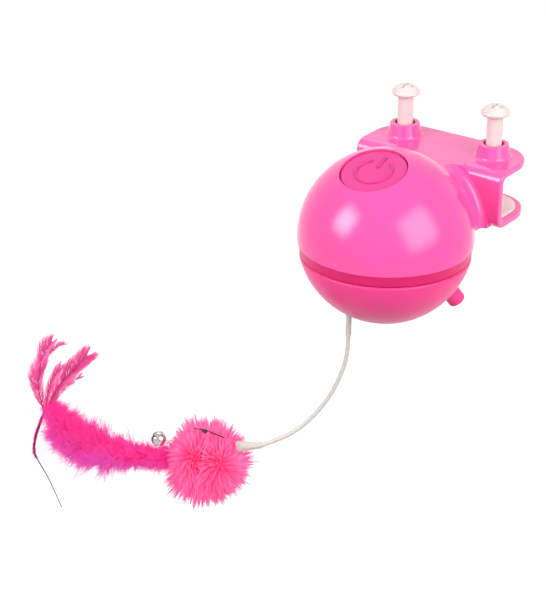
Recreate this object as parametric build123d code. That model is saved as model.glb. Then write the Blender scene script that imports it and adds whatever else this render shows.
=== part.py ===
from build123d import *
import math
import os

# Automatic cat laser toy that clamps to a table edge. A motor in the upper half of the ball turns the
# lower half, which carries a laser and a springy wire with a plush and feather lure.
#
# Millimetres, +Z up. Every piece is modelled about the ball's centre, with the clamp towards +Y, and
# is moved when it is written, so that the origin is on the grip pad under the line of the two screws.

# ---------------------------------------------------------------- driving dimensions
# ball
BALL_R = 44.0
WALL = 2.0
CAVITY_R = BALL_R - WALL
DOME_EDGE_Z = -2.8          # lower edge of both dome shells
SEAM_Y = 12.5               # plane where the front and rear shells meet
TONGUE = 1.6                # how far the front shell's tongue reaches into the rear shell
TONGUE_WALL = 1.2

# band between the halves: the rim of the chassis plate
BAND_TOP_INSET, BAND_BOTTOM_INSET = 0.3, 1.4      # how far the band lies inside the ball
BAND_TOP_R = BALL_R - BAND_TOP_INSET
BAND_BOTTOM_R = BALL_R - BAND_BOTTOM_INSET
BAND_BOTTOM_Z = -8.6
FLOOR_T = 2.5
FLOOR_TOP_Z = BAND_BOTTOM_Z + FLOOR_T
BAND_WALL = 2.2
LIP_H = 2.0                 # lip of the chassis plate inside the shells
LIP_R = CAVITY_R - 0.3

# lower half
BOWL_GAP = 0.6              # running gap between band and bowl
BOWL_RIM_Z = BAND_BOTTOM_Z - BOWL_GAP
BOWL_FLAT_DEPTH = 0.6       # how much of the ball's underside is flat
BOWL_FLAT_Z = BOWL_FLAT_DEPTH - BALL_R
BOWL_RIM_ROUND = 0.9

# clamp bracket
NECK_R = 33.4
NECK_BLEND = 5.5            # concave blend from ball to neck
NECK_L = 2.88889              # straight part of the neck between its two blends
NECK_FLARE = 3.0            # concave blend from neck to wall
NECK_BLEND_Y = math.sqrt((BALL_R + NECK_BLEND) ** 2 - (NECK_R + NECK_BLEND) ** 2)
BRACKET_HALF_W = 42.8
WALL_Y = NECK_BLEND_Y + NECK_L + NECK_FLARE     # front face of the upright wall
WALL_T = 3.4
JAW_REACH = 37.5            # from the wall's front face to the jaws' ends
BRACKET_BACK_Y = WALL_Y + JAW_REACH
JAW_BOTTOM_Z = 0.2
JAW_T = 4.0
PLATE_TOP_Z = 30.3
PLATE_T = 3.6
BRACKET_CORNER_R = 6.0      # outer corners of the C, seen from the side
JAW_CORNER_R = 19.0         # rear corners, seen from above
BRACKET_EDGE = 1.0          # small round on every outline edge of the bracket
WALL_BACK_Y = WALL_Y + WALL_T
JAW_TOP_Z = JAW_BOTTOM_Z + JAW_T
PLATE_BOTTOM_Z = PLATE_TOP_Z - PLATE_T

# grip pad
PAD_INSET = 2.7
PAD_GAP = 0.3
PAD_POCKET = 0.8
PAD_PROUD = 0.4
PAD_FRONT_Y = WALL_BACK_Y + 1.6
PAD_TOP_Z = JAW_TOP_Z + PAD_PROUD

# clamp screws
SCREW_X = 26.35
SCREW_REACH = 20.5          # from the wall's front face to the screws' axes
SCREW_Y = WALL_Y + SCREW_REACH
SHANK_R = 4.0
SLIDE_CLEARANCE = 0.1
BOSS_H = 7.0
BOSS_TOP_R = 7.6
BOSS_BASE_R = 9.0
BOSS_BLEND = 1.6
BOSS_POCKET_R = 5.4
BOSS_POCKET_DEPTH = 5.6
HEAD_R = 7.4
HEAD_UNDER_Z = 52.6
HEAD_RIM_H = 1.0
HEAD_DOME_H = 4.0
CROSS_L, CROSS_W, CROSS_DEPTH = 8.4, 1.5, 1.6
SCREW_TIP_Z = PLATE_BOTTOM_Z + 0.2

# power button, on an axis that leans forward
BUTTON_TILT = 18.0
BUTTON_R = 16.6
BUTTON_GAP = 0.25
BUTTON_SINK = 2.345756        # the button's face lies this far below the edge of its well
BUTTON_FACE_K = math.sqrt(BALL_R**2 - (BUTTON_R + BUTTON_GAP) ** 2) - BUTTON_SINK     # K: along its axis
BUTTON_T = 2.5
BUTTON_SKIRT = 1.4
BUTTON_TRAVEL = 1.0
WELL_WALL = 1.2
WELL_RIM_ROUND = 0.8
WELL_FLOOR_T = 1.2
STEM_R = 2.0
RUN = 0.1                   # running clearance of small sliding and turning parts
REST_GAP = 0.3              # free gap that is left at the end of a travel

# circuit board and switch under the button
BOARD_T = 1.6
BOARD_HALF_W = 13.5
BOARD_FRONT, BOARD_BACK = -9.0, 13.5
SWITCH_SIZE, SWITCH_H = 6.0, 3.0
PLUNGER_R = 1.7
PLUNGER_IN_SWITCH = 1.5
STANDOFF_R = 2.2
BOARD_SCREW_X = 10.5
BOARD_SCREW_FRONT, BOARD_SCREW_BACK = -6.5, 10.8

# small screws: shank radius, head radius, head height
SMALL_SHANK_R, SMALL_HEAD_R, SMALL_HEAD_H = 1.2, 2.4, 1.6
TINY_SHANK_R, TINY_HEAD_R, TINY_HEAD_H = 0.8, 1.6, 1.0
THREAD_CLEARANCE = 0.03
HOLE_CLEARANCE = 0.2

# screw pillars
PILLAR_R = 3.0
PILLAR_FRONT_INSET, PILLAR_FRONT_DIR = 5.937554, -45.0        # from the cavity's wall, direction in plan
PILLAR_REAR_INSET, PILLAR_REAR_DIR = 5.469191, 30.425784
CHASSIS_SCREW_L = 10.0
CHASSIS_BOSS_R = 4.2
HOUSING_SCREW_X, HOUSING_SCREW_Z = 23.5, 8.2
HOUSING_PILLAR_R = 4.4
HOUSING_BORE_R = 3.1
HOUSING_SEAT_Y = 20.0
HOUSING_SCREW_L = 14.0
HOUSING_BOSS_L = 8.0
RIB_T = 1.8

# batteries: three AAA cells that slide in from the throat of the clamp
CELL_R, CELL_L, CELL_PITCH = 5.25, 44.5, 11.2
CELL_NUB_R, CELL_NUB_H = 2.6, 1.0
CELL_Z = 14.5
CELL_COUNT = 3
CELL_CLEARANCE = 0.25
BOX_WALL = 1.0
BOX_SEAT_DEPTH = 2.5        # the box seats this far in front of the wall's front face
BOX_SEAT_Y = WALL_Y - BOX_SEAT_DEPTH
CONTACT_T = 0.4
CONTACT_HALF_W, SPRING_PLATE_HALF_W = 3.6, 4.2
SPRING_WIDE_R, SPRING_TIP_R, SPRING_BORE_R, CONTACT_PIP_R = 3.4, 2.0, 1.4, 1.5
SPRING_L = 2.2              # contact spring, pressed, between a cell and the door
DOOR_T = 2.0
CELL_FRONT_Y = WALL_BACK_Y - DOOR_T - CONTACT_T - SPRING_L - CELL_L
DOOR_MARGIN = 2.5           # how far the door overlaps its opening
DOOR_GAP = 0.3
DOOR_TAB_L, DOOR_TAB_HALF_W = 6.0, 3.0
DOOR_TAB_UP = 0.7           # the tab sits this far above the cells' middle
DOOR_SCREW_L = 6.0

# gear train, vertical axes
MODULE = 0.5
PRESSURE_ANGLE = 20.0
WHEEL_TIP, PINION_TIP, ROOT = 0.6, 1.0, 1.25      # shares of the module
BACKLASH = 0.12
PINION_TEETH, WHEEL_TEETH, OUTPUT_TEETH = 10, 36, 44
GEAR_T = 3.0
LAYER_GAP = 0.5
LAYER_A = -5.5              # bottom of the output gear
LAYER_B = LAYER_A + GEAR_T + LAYER_GAP
LAYER_C = LAYER_B + GEAR_T + LAYER_GAP
AXLE_R = 0.75
AXLE_CLEARANCE = 0.06
SECOND_GEAR_DIR = 225.3     # direction from the output axis to the second gear
FIRST_GEAR_DIR = 265.6      # direction from the second gear to the first gear
MOTOR_DIR = -25.4           # direction from the first gear to the motor
END_PLAY = 0.3

# gearbox cover and motor
COVER_T = 1.2
COVER_Z = LAYER_C + GEAR_T + 0.5
COVER_POSTS = [(13.0, -14.0), (-23.0, -13.0), (10.5, 12.0), (-13.5, 9.5)]
POST_R = 2.5
MOTOR_W, MOTOR_D, MOTOR_H = 20.1, 15.0, 16.2
MOTOR_CORNER = 5.0
MOTOR_BOSS_R = 3.0
CRADLE_WALL, CRADLE_H = 1.3, 6.0
MOTOR_SHAFT_IN = 6.0
MOTOR_EDGE = 1.0
MOTOR_TAB_X, MOTOR_TAB_T, MOTOR_TAB_H, MOTOR_TAB_DROP = 5.0, 0.8, 3.0, 3.0       # its two solder tabs
MOTOR_TAB_IN, MOTOR_TAB_OUT = 0.5, 1.5
GEARBOX_SCREW_L = 5.5

# output shaft and slip rings
SHAFT_R = 3.0
BUSH_WALL = 1.5
BUSH_FLANGE_R, BUSH_FLANGE_T = 5.5, 0.5
BUSH_STANDS_OUT = 0.8
STUB_R = 1.5
SHAFT_END_Z = -20.0
SHAFT_FLAT = 2.4
TURNTABLE_T = 2.0
TURNTABLE_TOP_Z = -10.2
TURNTABLE_GAP = 1.689053       # from its lower edge to the bowl's inside
TURNTABLE_R = math.sqrt(CAVITY_R**2 - (TURNTABLE_TOP_Z - TURNTABLE_T) ** 2) - TURNTABLE_GAP
HUB_R = 7.0
RING_T = 0.3
RING_RADII = [(19.0, 21.5), (25.0, 27.5)]
BRUSH_T, BRUSH_W = 0.3, 3.0
BRUSH_DIR = 60.0
HUB_SCREW_SEAT_Z = -27.0
HUB_SCREW_L = 13.0
BOWL_RIB_DIRS = [127.0, 307.0]
BOWL_RIB_TOP_Z = -30.0

# laser nozzle
NOZZLE_DIR = 42.0           # direction in plan
NOZZLE_LATITUDE = -43.0     # where its axis meets the ball
NOZZLE_DROP = 54.0          # slope of its axis
NOZZLE_R = 4.55
NOZZLE_OUT = 10.0
NOZZLE_ROUND = 1.6
NOZZLE_SEAT = 4.8           # depth of its seat below the ball's surface
NOZZLE_FLANGE_R, NOZZLE_FLANGE_T = 6.5, 1.5
LASER_R, LASER_L = 3.0, 14.0
LENS_R, LENS_T = 2.8, 1.0
APERTURE_R, APERTURE_L = 1.8, 2.2

# teaser wire and lure, in a vertical plane through the ball's axis
SWING_DIR = 212.4           # direction in plan
SOCKET_S = 17.5             # distance of the wire's socket from the axis
SOCKET_R = 3.0
SOCKET_FLANGE_R, SOCKET_FLANGE_T = 4.5, 1.5
SOCKET_SEAT_RAISE = 0.377088  # its seat stands this far above the bowl's inside
SOCKET_SEAT_Z = SOCKET_SEAT_RAISE - math.sqrt(CAVITY_R**2 - (SOCKET_S + SOCKET_FLANGE_R) ** 2)
SOCKET_COLLAR_L = 2.229838    # how far its collar stands out of the ball
SOCKET_COLLAR_Z = -math.sqrt(BALL_R**2 - SOCKET_S**2) - SOCKET_COLLAR_L
SLEEVE_R = 1.5
SLEEVE_END_Z = -56.0
WIRE_R = 1.15
WIRE_ROUTE = [(17.5, -56.0), (17.5, -66.5), (20.9, -79.5), (27.6, -94.3), (38.6, -108.6),
              (50.2, -117.6), (62.0, -122.5)]        # (distance from the axis, height)
COLLAR_R, COLLAR_L = 1.65, 5.0
FLARE_R, FLARE_L = 3.0, 9.0
PLUSH_S, PLUSH_Z = 90.5, -134.3
PLUSH_R, PLUSH_HALF_H = 21.0, 25.0
PLUSH_POLE_R = 3.0          # its top and bottom are slightly flat
TAIL_START, TAIL_END = (106.0, -133.0), (178.5, -101.5)
TAIL_R = 8.6
THREAD_R = 0.5
BELL_S, BELL_Z = 115.6, -116.6
BELL_OUT = 7.0              # the bell hangs this far in front of the lure's plane
BELL_R = 3.9
BELL_RIM, BELL_SLOT_W = 0.35, 0.9
BELL_EYE_R, BELL_EYE_WIRE_R = 1.5, 0.4
HACKLE_ROOT = (175.5, -103.0)
HACKLE_TIPS = [(171.0, -62.0), (162.5, -64.5), (148.5, -69.5)]
HACKLE_HALF_W = 3.6
HACKLE_T = 0.6
QUILL_ROUTE = [(177.0, -107.5), (184.7, -132.1), (172.2, -165.0)]
QUILL_R = 0.8


# ---------------------------------------------------------------- helpers
def upright(radius, bottom, top, x=0.0, y=0.0):
    """A vertical cylinder between two heights."""
    return Pos(x, y, (bottom + top) / 2) * Cylinder(radius, top - bottom)


def along_y(radius, front, back, x=0.0, z=0.0):
    """A cylinder along Y between two places."""
    return Pos(x, (front + back) / 2, z) * Rot(90, 0, 0) * Cylinder(radius, back - front)


def block(x0, x1, y0, y1, z0, z1):
    """A box between two corners."""
    return Pos((x0 + x1) / 2, (y0 + y1) / 2, (z0 + z1) / 2) * Box(x1 - x0, y1 - y0, z1 - z0)


def polar(radius, degrees):
    return radius * math.cos(math.radians(degrees)), radius * math.sin(math.radians(degrees))


FAR = 200.0
PILLAR_FRONT = polar(CAVITY_R - PILLAR_FRONT_INSET, PILLAR_FRONT_DIR)
PILLAR_REAR = polar(CAVITY_R - PILLAR_REAR_INSET, PILLAR_REAR_DIR)
ABOVE_EDGE = block(-FAR, FAR, -FAR, FAR, DOME_EDGE_Z, FAR)
BUTTON_PLANE = Plane(
    origin=(0, 0, 0),
    x_dir=(1, 0, 0),
    z_dir=(0, -math.sin(math.radians(BUTTON_TILT)), math.cos(math.radians(BUTTON_TILT))),
)
BUTTON = Location(BUTTON_PLANE)
SWING_X, SWING_Y = polar(1.0, SWING_DIR)
SWING_PLANE = Plane(origin=(0, 0, 0), x_dir=(SWING_X, SWING_Y, 0), z_dir=(SWING_Y, -SWING_X, 0))
SWING = Location(SWING_PLANE)


def swing(s, z):
    """A point of the lure's plane in the ball's frame."""
    return Vector(SWING_X * s, SWING_Y * s, z)


def screw(shank_r, shank_l, head_r, head_h):
    """A pan head screw with its seat at z 0 and its shank along +Z, with a cross recess."""
    head = upright(head_r, -head_h, 0)
    head = fillet(head.edges().group_by(Axis.Z)[0], head_h * 0.5)
    for turn in (0, 90):
        head -= Rot(0, 0, turn) * block(-head_r * 0.6, head_r * 0.6, -0.25, 0.25, -head_h, -head_h * 0.5)
    shank = upright(shank_r, 0, shank_l)
    return head + chamfer(shank.edges().group_by(Axis.Z)[-1], shank_r * 0.4)


SEVERAL = {}


def write(name, *solids):
    """Move a piece into the part's own frame and write its STEP file."""
    moved = [Pos(0, -SCREW_Y, -PAD_TOP_Z) * solid for solid in solids]
    shape = moved[0] if len(moved) == 1 else Compound(children=moved)
    export_step(shape, f"parts/{name}.step")
    SEVERAL[name] = len(moved)


# ---------------------------------------------------------------- upper half: shells and chassis
WELL_R = BUTTON_R + BUTTON_GAP
WELL_OUTER_R = WELL_R + WELL_WALL
SKIRT_BOTTOM_K = BUTTON_FACE_K - BUTTON_T - BUTTON_SKIRT
WELL_FLOOR_TOP_K = SKIRT_BOTTOM_K - BUTTON_TRAVEL - REST_GAP
WELL_FLOOR_K = WELL_FLOOR_TOP_K - WELL_FLOOR_T
SWITCH_TOP_K = WELL_FLOOR_K - 1.2
STEM_END_K = SWITCH_TOP_K + BUTTON_TRAVEL + REST_GAP
BOARD_TOP_K = SWITCH_TOP_K - SWITCH_H
BOARD_SCREWS = [
    (x, along) for x in (-BOARD_SCREW_X, BOARD_SCREW_X) for along in (BOARD_SCREW_FRONT, BOARD_SCREW_BACK)
]
CHASSIS_SCREWS = [
    (side * x, y) for x, y in (PILLAR_FRONT, PILLAR_REAR) for side in (-1, 1)
]
SCREW_SEAT_Z = BAND_BOTTOM_Z + SMALL_HEAD_H + 0.4


def ball_shell():
    return Rot(90, 0, 0) * Sphere(BALL_R) - Rot(90, 0, 0) * Sphere(CAVITY_R)


def pillar(x, y):
    """A screw pillar that hangs from a shell down to the chassis plate."""
    post = upright(PILLAR_R, DOME_EDGE_Z, CAVITY_R, x, y) & Sphere(CAVITY_R + WALL / 2)
    return post


def pilot(x, y):
    return upright(SMALL_SHANK_R + THREAD_CLEARANCE, DOME_EDGE_Z - 1, SCREW_SEAT_Z + CHASSIS_SCREW_L + 1, x, y)


def front_dome():
    """The glossy front shell, with the button's well, board standoffs, pillars and a tongue."""
    before_seam = block(-FAR, FAR, -FAR, SEAM_Y, DOME_EDGE_Z, FAR)
    shell = ball_shell() & before_seam
    well = BUTTON * upright(WELL_OUTER_R, WELL_FLOOR_K, BALL_R) & Sphere(BALL_R - WALL / 2)
    shell += well
    shell -= BUTTON * upright(WELL_R, WELL_FLOOR_TOP_K, BALL_R + 5)
    rim = shell.edges().filter_by(GeomType.CIRCLE).sort_by(Axis(origin=(0, 0, 0), direction=BUTTON_PLANE.z_dir))
    rim = [edge for edge in rim if abs(edge.radius - WELL_R) < 1e-3][-1]
    shell = fillet([rim], WELL_RIM_ROUND)
    for x, along in BOARD_SCREWS:
        shell += BUTTON * upright(STANDOFF_R, BOARD_TOP_K, WELL_FLOOR_K, x, along)
    for x, along in BOARD_SCREWS:
        shell -= BUTTON * upright(TINY_SHANK_R + THREAD_CLEARANCE, BOARD_TOP_K, WELL_FLOOR_K, x, along)
    shell -= BUTTON * upright(STEM_R + RUN, WELL_FLOOR_K - 1, WELL_FLOOR_TOP_K + 1)

    inside = Sphere(CAVITY_R + WALL / 2) & before_seam
    for side in (-1, 1):
        shell += pillar(side * PILLAR_FRONT[0], PILLAR_FRONT[1])
        boss = along_y(HOUSING_PILLAR_R - 1.2, SEAM_Y - HOUSING_BOSS_L, SEAM_Y, side * HOUSING_SCREW_X, HOUSING_SCREW_Z)
        rib_ends = sorted((side * HOUSING_SCREW_X, side * BALL_R))
        rib = block(*rib_ends, SEAM_Y - HOUSING_BOSS_L, SEAM_Y - 0.5,
                    HOUSING_SCREW_Z - RIB_T / 2, HOUSING_SCREW_Z + RIB_T / 2) & inside
        shell += boss + rib
    for side in (-1, 1):
        shell -= pilot(side * PILLAR_FRONT[0], PILLAR_FRONT[1])
        shell -= along_y(SMALL_SHANK_R + THREAD_CLEARANCE, SEAM_Y - HOUSING_BOSS_L + 0.8, SEAM_Y + 1,
                         side * HOUSING_SCREW_X, HOUSING_SCREW_Z)

    clear_of_lip = DOME_EDGE_Z + LIP_H + 1.0
    root = (Sphere(CAVITY_R + WALL / 2) - Sphere(CAVITY_R - TONGUE_WALL)) & block(
        -FAR, FAR, SEAM_Y - TONGUE, SEAM_Y, clear_of_lip, FAR)
    tongue = (Sphere(CAVITY_R - 0.05) - Sphere(CAVITY_R - TONGUE_WALL)) & block(
        -FAR, FAR, SEAM_Y, SEAM_Y + TONGUE, clear_of_lip, FAR)
    return shell + root + tongue


def neck_of_revolution():
    """The ball's rear and its neck in one turned profile: ball, concave blend, neck, flare, wall."""
    # the blend's arc touches the ball from outside and the neck's side
    blend_rho = NECK_R + NECK_BLEND
    blend_y = NECK_BLEND_Y
    touch = BALL_R / (BALL_R + NECK_BLEND)
    on_ball = (blend_rho * touch, blend_y * touch)
    on_neck = (NECK_R, blend_y)
    middle = math.atan2(on_ball[1] - blend_y, on_ball[0] - blend_rho) % (2 * math.pi)
    middle = (middle + math.pi) / 2
    mid_blend = (blend_rho + NECK_BLEND * math.cos(middle), blend_y + NECK_BLEND * math.sin(middle))
    seam = (math.sqrt(BALL_R**2 - SEAM_Y**2), SEAM_Y)
    half = (math.atan2(seam[1], seam[0]) + math.atan2(on_ball[1], on_ball[0])) / 2
    mid_ball = (BALL_R * math.cos(half), BALL_R * math.sin(half))
    flare_start = (NECK_R, WALL_Y - NECK_FLARE)
    flare_end = (NECK_R + NECK_FLARE, WALL_Y)
    share = 1 - math.sqrt(0.5)
    mid_flare = (NECK_R + NECK_FLARE * share, WALL_Y - NECK_FLARE * share)
    outline = [
        Line((0, SEAM_Y), seam),
        ThreePointArc(seam, mid_ball, on_ball),
        ThreePointArc(on_ball, mid_blend, on_neck),
        Line(on_neck, flare_start),
        ThreePointArc(flare_start, mid_flare, flare_end),
        Line(flare_end, (0, WALL_Y)),
        Line((0, WALL_Y), (0, SEAM_Y)),
    ]
    return revolve(make_face(outline), Axis.Y, 360)


def c_profile(rounded):
    """The clamp bracket seen from the side, in a plane where X is Y and Y is Z."""
    y0, y1, back = WALL_Y, WALL_BACK_Y, BRACKET_BACK_Y
    corners = [
        (back, JAW_BOTTOM_Z), (y0, JAW_BOTTOM_Z), (y0, PLATE_TOP_Z), (back, PLATE_TOP_Z),
        (back, PLATE_BOTTOM_Z), (y1, PLATE_BOTTOM_Z), (y1, JAW_TOP_Z), (back, JAW_TOP_Z),
    ]
    face = make_face(Polyline(corners, close=True))
    if rounded:
        face = fillet([v for v in face.vertices() if abs(v.X - y0) < 0.01], BRACKET_CORNER_R)
        throat = [v for v in face.vertices() if abs(v.X - y1) < 0.01 and abs(v.Y - CELL_Z) < 15]
        face = fillet(throat, BRACKET_CORNER_R - WALL_T)
    return face


def jaw_outline(inset, front):
    """The jaws seen from above: a rectangle with large rear corners."""
    back = BRACKET_BACK_Y - inset
    half = BRACKET_HALF_W - inset
    face = make_face(Polyline([(-half, front), (half, front), (half, back), (-half, back)], close=True))
    return fillet([v for v in face.vertices() if v.Y > back - 0.01], JAW_CORNER_R - inset)


def bracket_blank(rounded):
    side = Plane.YZ * c_profile(rounded)
    bar = extrude(side, BRACKET_HALF_W, both=True)
    plan = extrude(jaw_outline(0, WALL_Y), PLATE_TOP_Z + 1)
    blank = bar & plan
    return fillet(sharp_edges(blank), BRACKET_EDGE) if rounded else blank


def runs_along(edge, axis):
    return edge.geom_type == GeomType.LINE and abs((edge % 0).dot(axis.direction)) > 0.999


def sharp_edges(blank):
    """The bracket's outline edges, without the smooth lines where its corner rounds end."""
    smooth = [e for e in blank.edges() if runs_along(e, Axis.X) and e.center().Y < BRACKET_BACK_Y - 0.01]
    smooth += [e for e in blank.edges() if runs_along(e, Axis.Z) and e.center().Y > WALL_BACK_Y]
    return [e for e in blank.edges() if e not in smooth]


def screw_boss(x):
    """A tapered boss with a soft foot on the top plate."""
    foot = upright(BOSS_BASE_R + 2 * BOSS_BLEND, -1.0, 0)
    cone = Pos(0, 0, BOSS_H / 2) * Cone(BOSS_BASE_R, BOSS_TOP_R, BOSS_H)
    boss = foot + cone
    inner_edge = [e for e in boss.edges().filter_by(GeomType.CIRCLE)
                  if abs(e.radius - BOSS_BASE_R) < 0.01 and abs(e.center().Z) < 0.01]
    boss = fillet(inner_edge, BOSS_BLEND)
    top_edge = boss.edges().filter_by(GeomType.CIRCLE).group_by(Axis.Z)[-1]
    boss = fillet(top_edge, 0.5)
    return Pos(x, SCREW_Y, PLATE_TOP_Z) * boss


CELLS_X = [CELL_PITCH * (i - (CELL_COUNT - 1) / 2) for i in range(CELL_COUNT)]
CHANNEL_R = CELL_R + CELL_CLEARANCE
BOX_HALF_W = CELLS_X[-1] + CHANNEL_R + BOX_WALL - 0.2
BOX_HALF_H = CHANNEL_R + BOX_WALL
BOX_FRONT_Y = CELL_FRONT_Y - 2 * CONTACT_T - BOX_WALL
DOOR_HALF_W = BOX_HALF_W + DOOR_MARGIN - 1.0
DOOR_HALF_H = BOX_HALF_H + DOOR_MARGIN - 1.5
DOOR_SCREW_X = DOOR_HALF_W + DOOR_TAB_L / 2
DOOR_Y = WALL_BACK_Y - DOOR_T


def rear_housing():
    """Rear shell, neck and C clamp in one moulding, with its battery opening and screw pillars."""
    slab = block(-FAR, FAR, SEAM_Y, FAR, JAW_BOTTOM_Z, PLATE_TOP_Z)
    ball = Rot(90, 0, 0) * Sphere(BALL_R)
    cap = ball & block(-FAR, FAR, SEAM_Y, FAR, PLATE_TOP_Z, FAR)
    hem = ball & block(-FAR, FAR, SEAM_Y, FAR, DOME_EDGE_Z, JAW_BOTTOM_Z)
    body = (neck_of_revolution() & slab) + cap + hem
    body += bracket_blank(rounded=True)
    filled = bracket_blank(rounded=False) & along_y(
        NECK_R + NECK_FLARE, WALL_Y - 0.01, WALL_Y + BRACKET_CORNER_R)
    body += filled
    for side in (-1, 1):
        body += screw_boss(side * SCREW_X)
    body -= Rot(90, 0, 0) * Sphere(CAVITY_R) & block(-FAR, FAR, -FAR, BOX_SEAT_Y, -FAR, FAR)

    inside = Sphere(CAVITY_R + WALL / 2) & block(-FAR, FAR, SEAM_Y, FAR, DOME_EDGE_Z, FAR)
    for side in (-1, 1):
        body += pillar(side * PILLAR_REAR[0], PILLAR_REAR[1])
        body += along_y(HOUSING_PILLAR_R, SEAM_Y, BOX_SEAT_Y, side * HOUSING_SCREW_X, HOUSING_SCREW_Z) & inside
    for side in (-1, 1):
        x = side * HOUSING_SCREW_X
        body -= pilot(side * PILLAR_REAR[0], PILLAR_REAR[1])
        body -= along_y(SMALL_SHANK_R + HOLE_CLEARANCE, SEAM_Y - 1, HOUSING_SEAT_Y + 1, x, HOUSING_SCREW_Z)
        body -= along_y(HOUSING_BORE_R, HOUSING_SEAT_Y, WALL_BACK_Y + 1, x, HOUSING_SCREW_Z)
        body -= upright(SHANK_R + SLIDE_CLEARANCE, PLATE_BOTTOM_Z - 1, PLATE_TOP_Z + BOSS_H + 1, side * SCREW_X, SCREW_Y)
        body -= upright(BOSS_POCKET_R, PLATE_TOP_Z + BOSS_H - BOSS_POCKET_DEPTH, PLATE_TOP_Z + BOSS_H + 1,
                        side * SCREW_X, SCREW_Y)

    # battery opening: a tight hole for the box, a smaller mouth for the cells, a recess for the door
    body -= block(-BOX_HALF_W - 0.1, BOX_HALF_W + 0.1, SEAM_Y, BOX_SEAT_Y,
                  CELL_Z - BOX_HALF_H - 0.1, CELL_Z + BOX_HALF_H + 0.1)
    body -= block(-BOX_HALF_W + BOX_WALL, BOX_HALF_W - BOX_WALL, BOX_SEAT_Y - 1, WALL_BACK_Y + 1,
                  CELL_Z - BOX_HALF_H + BOX_WALL, CELL_Z + BOX_HALF_H - BOX_WALL)
    body -= door_outline(DOOR_GAP, DOOR_T + 1)
    body -= along_y(SMALL_SHANK_R + THREAD_CLEARANCE, DOOR_Y - DOOR_SCREW_L, DOOR_Y + 1, DOOR_SCREW_X, CELL_Z + DOOR_TAB_UP)
    pocket = extrude(jaw_outline(PAD_INSET, PAD_FRONT_Y), PAD_POCKET + 1)
    body -= Pos(0, 0, JAW_TOP_Z - PAD_POCKET) * pocket
    lip_groove = upright(LIP_R + 0.1, DOME_EDGE_Z - 1, DOME_EDGE_Z + LIP_H + 0.1)
    lip_groove -= upright(BAND_BOTTOM_R - BAND_WALL - 0.1, DOME_EDGE_Z - 2, DOME_EDGE_Z + LIP_H + 1)
    return body - lip_groove


def door_outline(grow, depth):
    """The battery door's outline with its screw tab, as a block from the door's inner face outwards."""
    main = Pos(0, CELL_Z) * RectangleRounded(2 * (DOOR_HALF_W + grow), 2 * (DOOR_HALF_H + grow), 2.0)
    tab = Pos(DOOR_SCREW_X - 1.5, CELL_Z + DOOR_TAB_UP) * RectangleRounded(
        DOOR_TAB_L + 3 + 2 * grow, 2 * (DOOR_TAB_HALF_W + grow), 2.0)
    facing_back = Plane(origin=(0, DOOR_Y, 0), x_dir=(1, 0, 0), z_dir=(0, -1, 0))
    return extrude(facing_back * (main + tab), -depth)


def chassis_plate():
    """The plate that closes the upper half. Its rim is the band between dome and bowl."""
    inner = BAND_BOTTOM_R - BAND_WALL
    band = Pos(0, 0, (DOME_EDGE_Z + BAND_BOTTOM_Z) / 2) * Cone(
        BAND_BOTTOM_R, BAND_TOP_R, DOME_EDGE_Z - BAND_BOTTOM_Z)
    band = chamfer(band.edges().group_by(Axis.Z)[0], 0.4)
    plate = band - upright(inner, FLOOR_TOP_Z, 0)
    plate += upright(LIP_R, DOME_EDGE_Z, DOME_EDGE_Z + LIP_H) - upright(inner, BAND_BOTTOM_Z, LIP_H + 1)
    bosses = [upright(CHASSIS_BOSS_R, FLOOR_TOP_Z - 1, DOME_EDGE_Z, x, y) for x, y in CHASSIS_SCREWS]
    plate += [boss & upright(inner, BAND_BOTTOM_Z, 0) for boss in bosses]
    for x, y in CHASSIS_SCREWS:
        plate -= upright(SMALL_SHANK_R + HOLE_CLEARANCE, BAND_BOTTOM_Z - 1, 0, x, y)
        plate -= upright(SMALL_HEAD_R + HOLE_CLEARANCE, BAND_BOTTOM_Z - 1, SCREW_SEAT_Z, x, y)
    # axle bosses and the bush's hole
    for (x, y), top in ((FIRST_GEAR, LAYER_B - END_PLAY), (SECOND_GEAR, LAYER_A - END_PLAY)):
        plate += upright(2.2, FLOOR_TOP_Z - 0.5, top, x, y)
        plate -= upright(AXLE_R + 0.01, FLOOR_TOP_Z - 2.0, top + 1, x, y)
    plate -= upright(SHAFT_R + BUSH_WALL, BAND_BOTTOM_Z - 1, FLOOR_TOP_Z + 1)
    return plate


# ---------------------------------------------------------------- button, board and switch
def power_button():
    """A round cap with a skirt and a stem that presses the switch."""
    cap = upright(BUTTON_R, SKIRT_BOTTOM_K, BUTTON_FACE_K)
    cap = fillet(cap.edges().group_by(Axis.Z)[-1], 0.5)
    cap -= upright(BUTTON_R - 1.4, SKIRT_BOTTOM_K - 1, BUTTON_FACE_K - BUTTON_T)
    cap += upright(STEM_R, STEM_END_K, BUTTON_FACE_K - BUTTON_T)
    for turn in (0, 90):
        cap += Rot(0, 0, turn) * block(-BUTTON_R + 0.7, BUTTON_R - 0.7, -0.5, 0.5,
                                       SKIRT_BOTTOM_K + 0.4, BUTTON_FACE_K - BUTTON_T)
    return BUTTON * cap


def circuit_board():
    board = block(-BOARD_HALF_W, BOARD_HALF_W, BOARD_FRONT, BOARD_BACK, BOARD_TOP_K - BOARD_T, BOARD_TOP_K)
    board = fillet(board.edges().filter_by(Axis.Z), 1.0)
    for x, along in BOARD_SCREWS:
        board -= upright(TINY_SHANK_R + HOLE_CLEARANCE, BOARD_TOP_K - BOARD_T - 1, BOARD_TOP_K + 1, x, along)
    chip = block(-3.5, 3.5, 5.0, 9.0, BOARD_TOP_K, BOARD_TOP_K + 1.4)
    capacitor = upright(2.0, BOARD_TOP_K, BOARD_TOP_K + 3.2, 7.0, 3.0)
    return BUTTON * (board + chip + capacitor)


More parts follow.
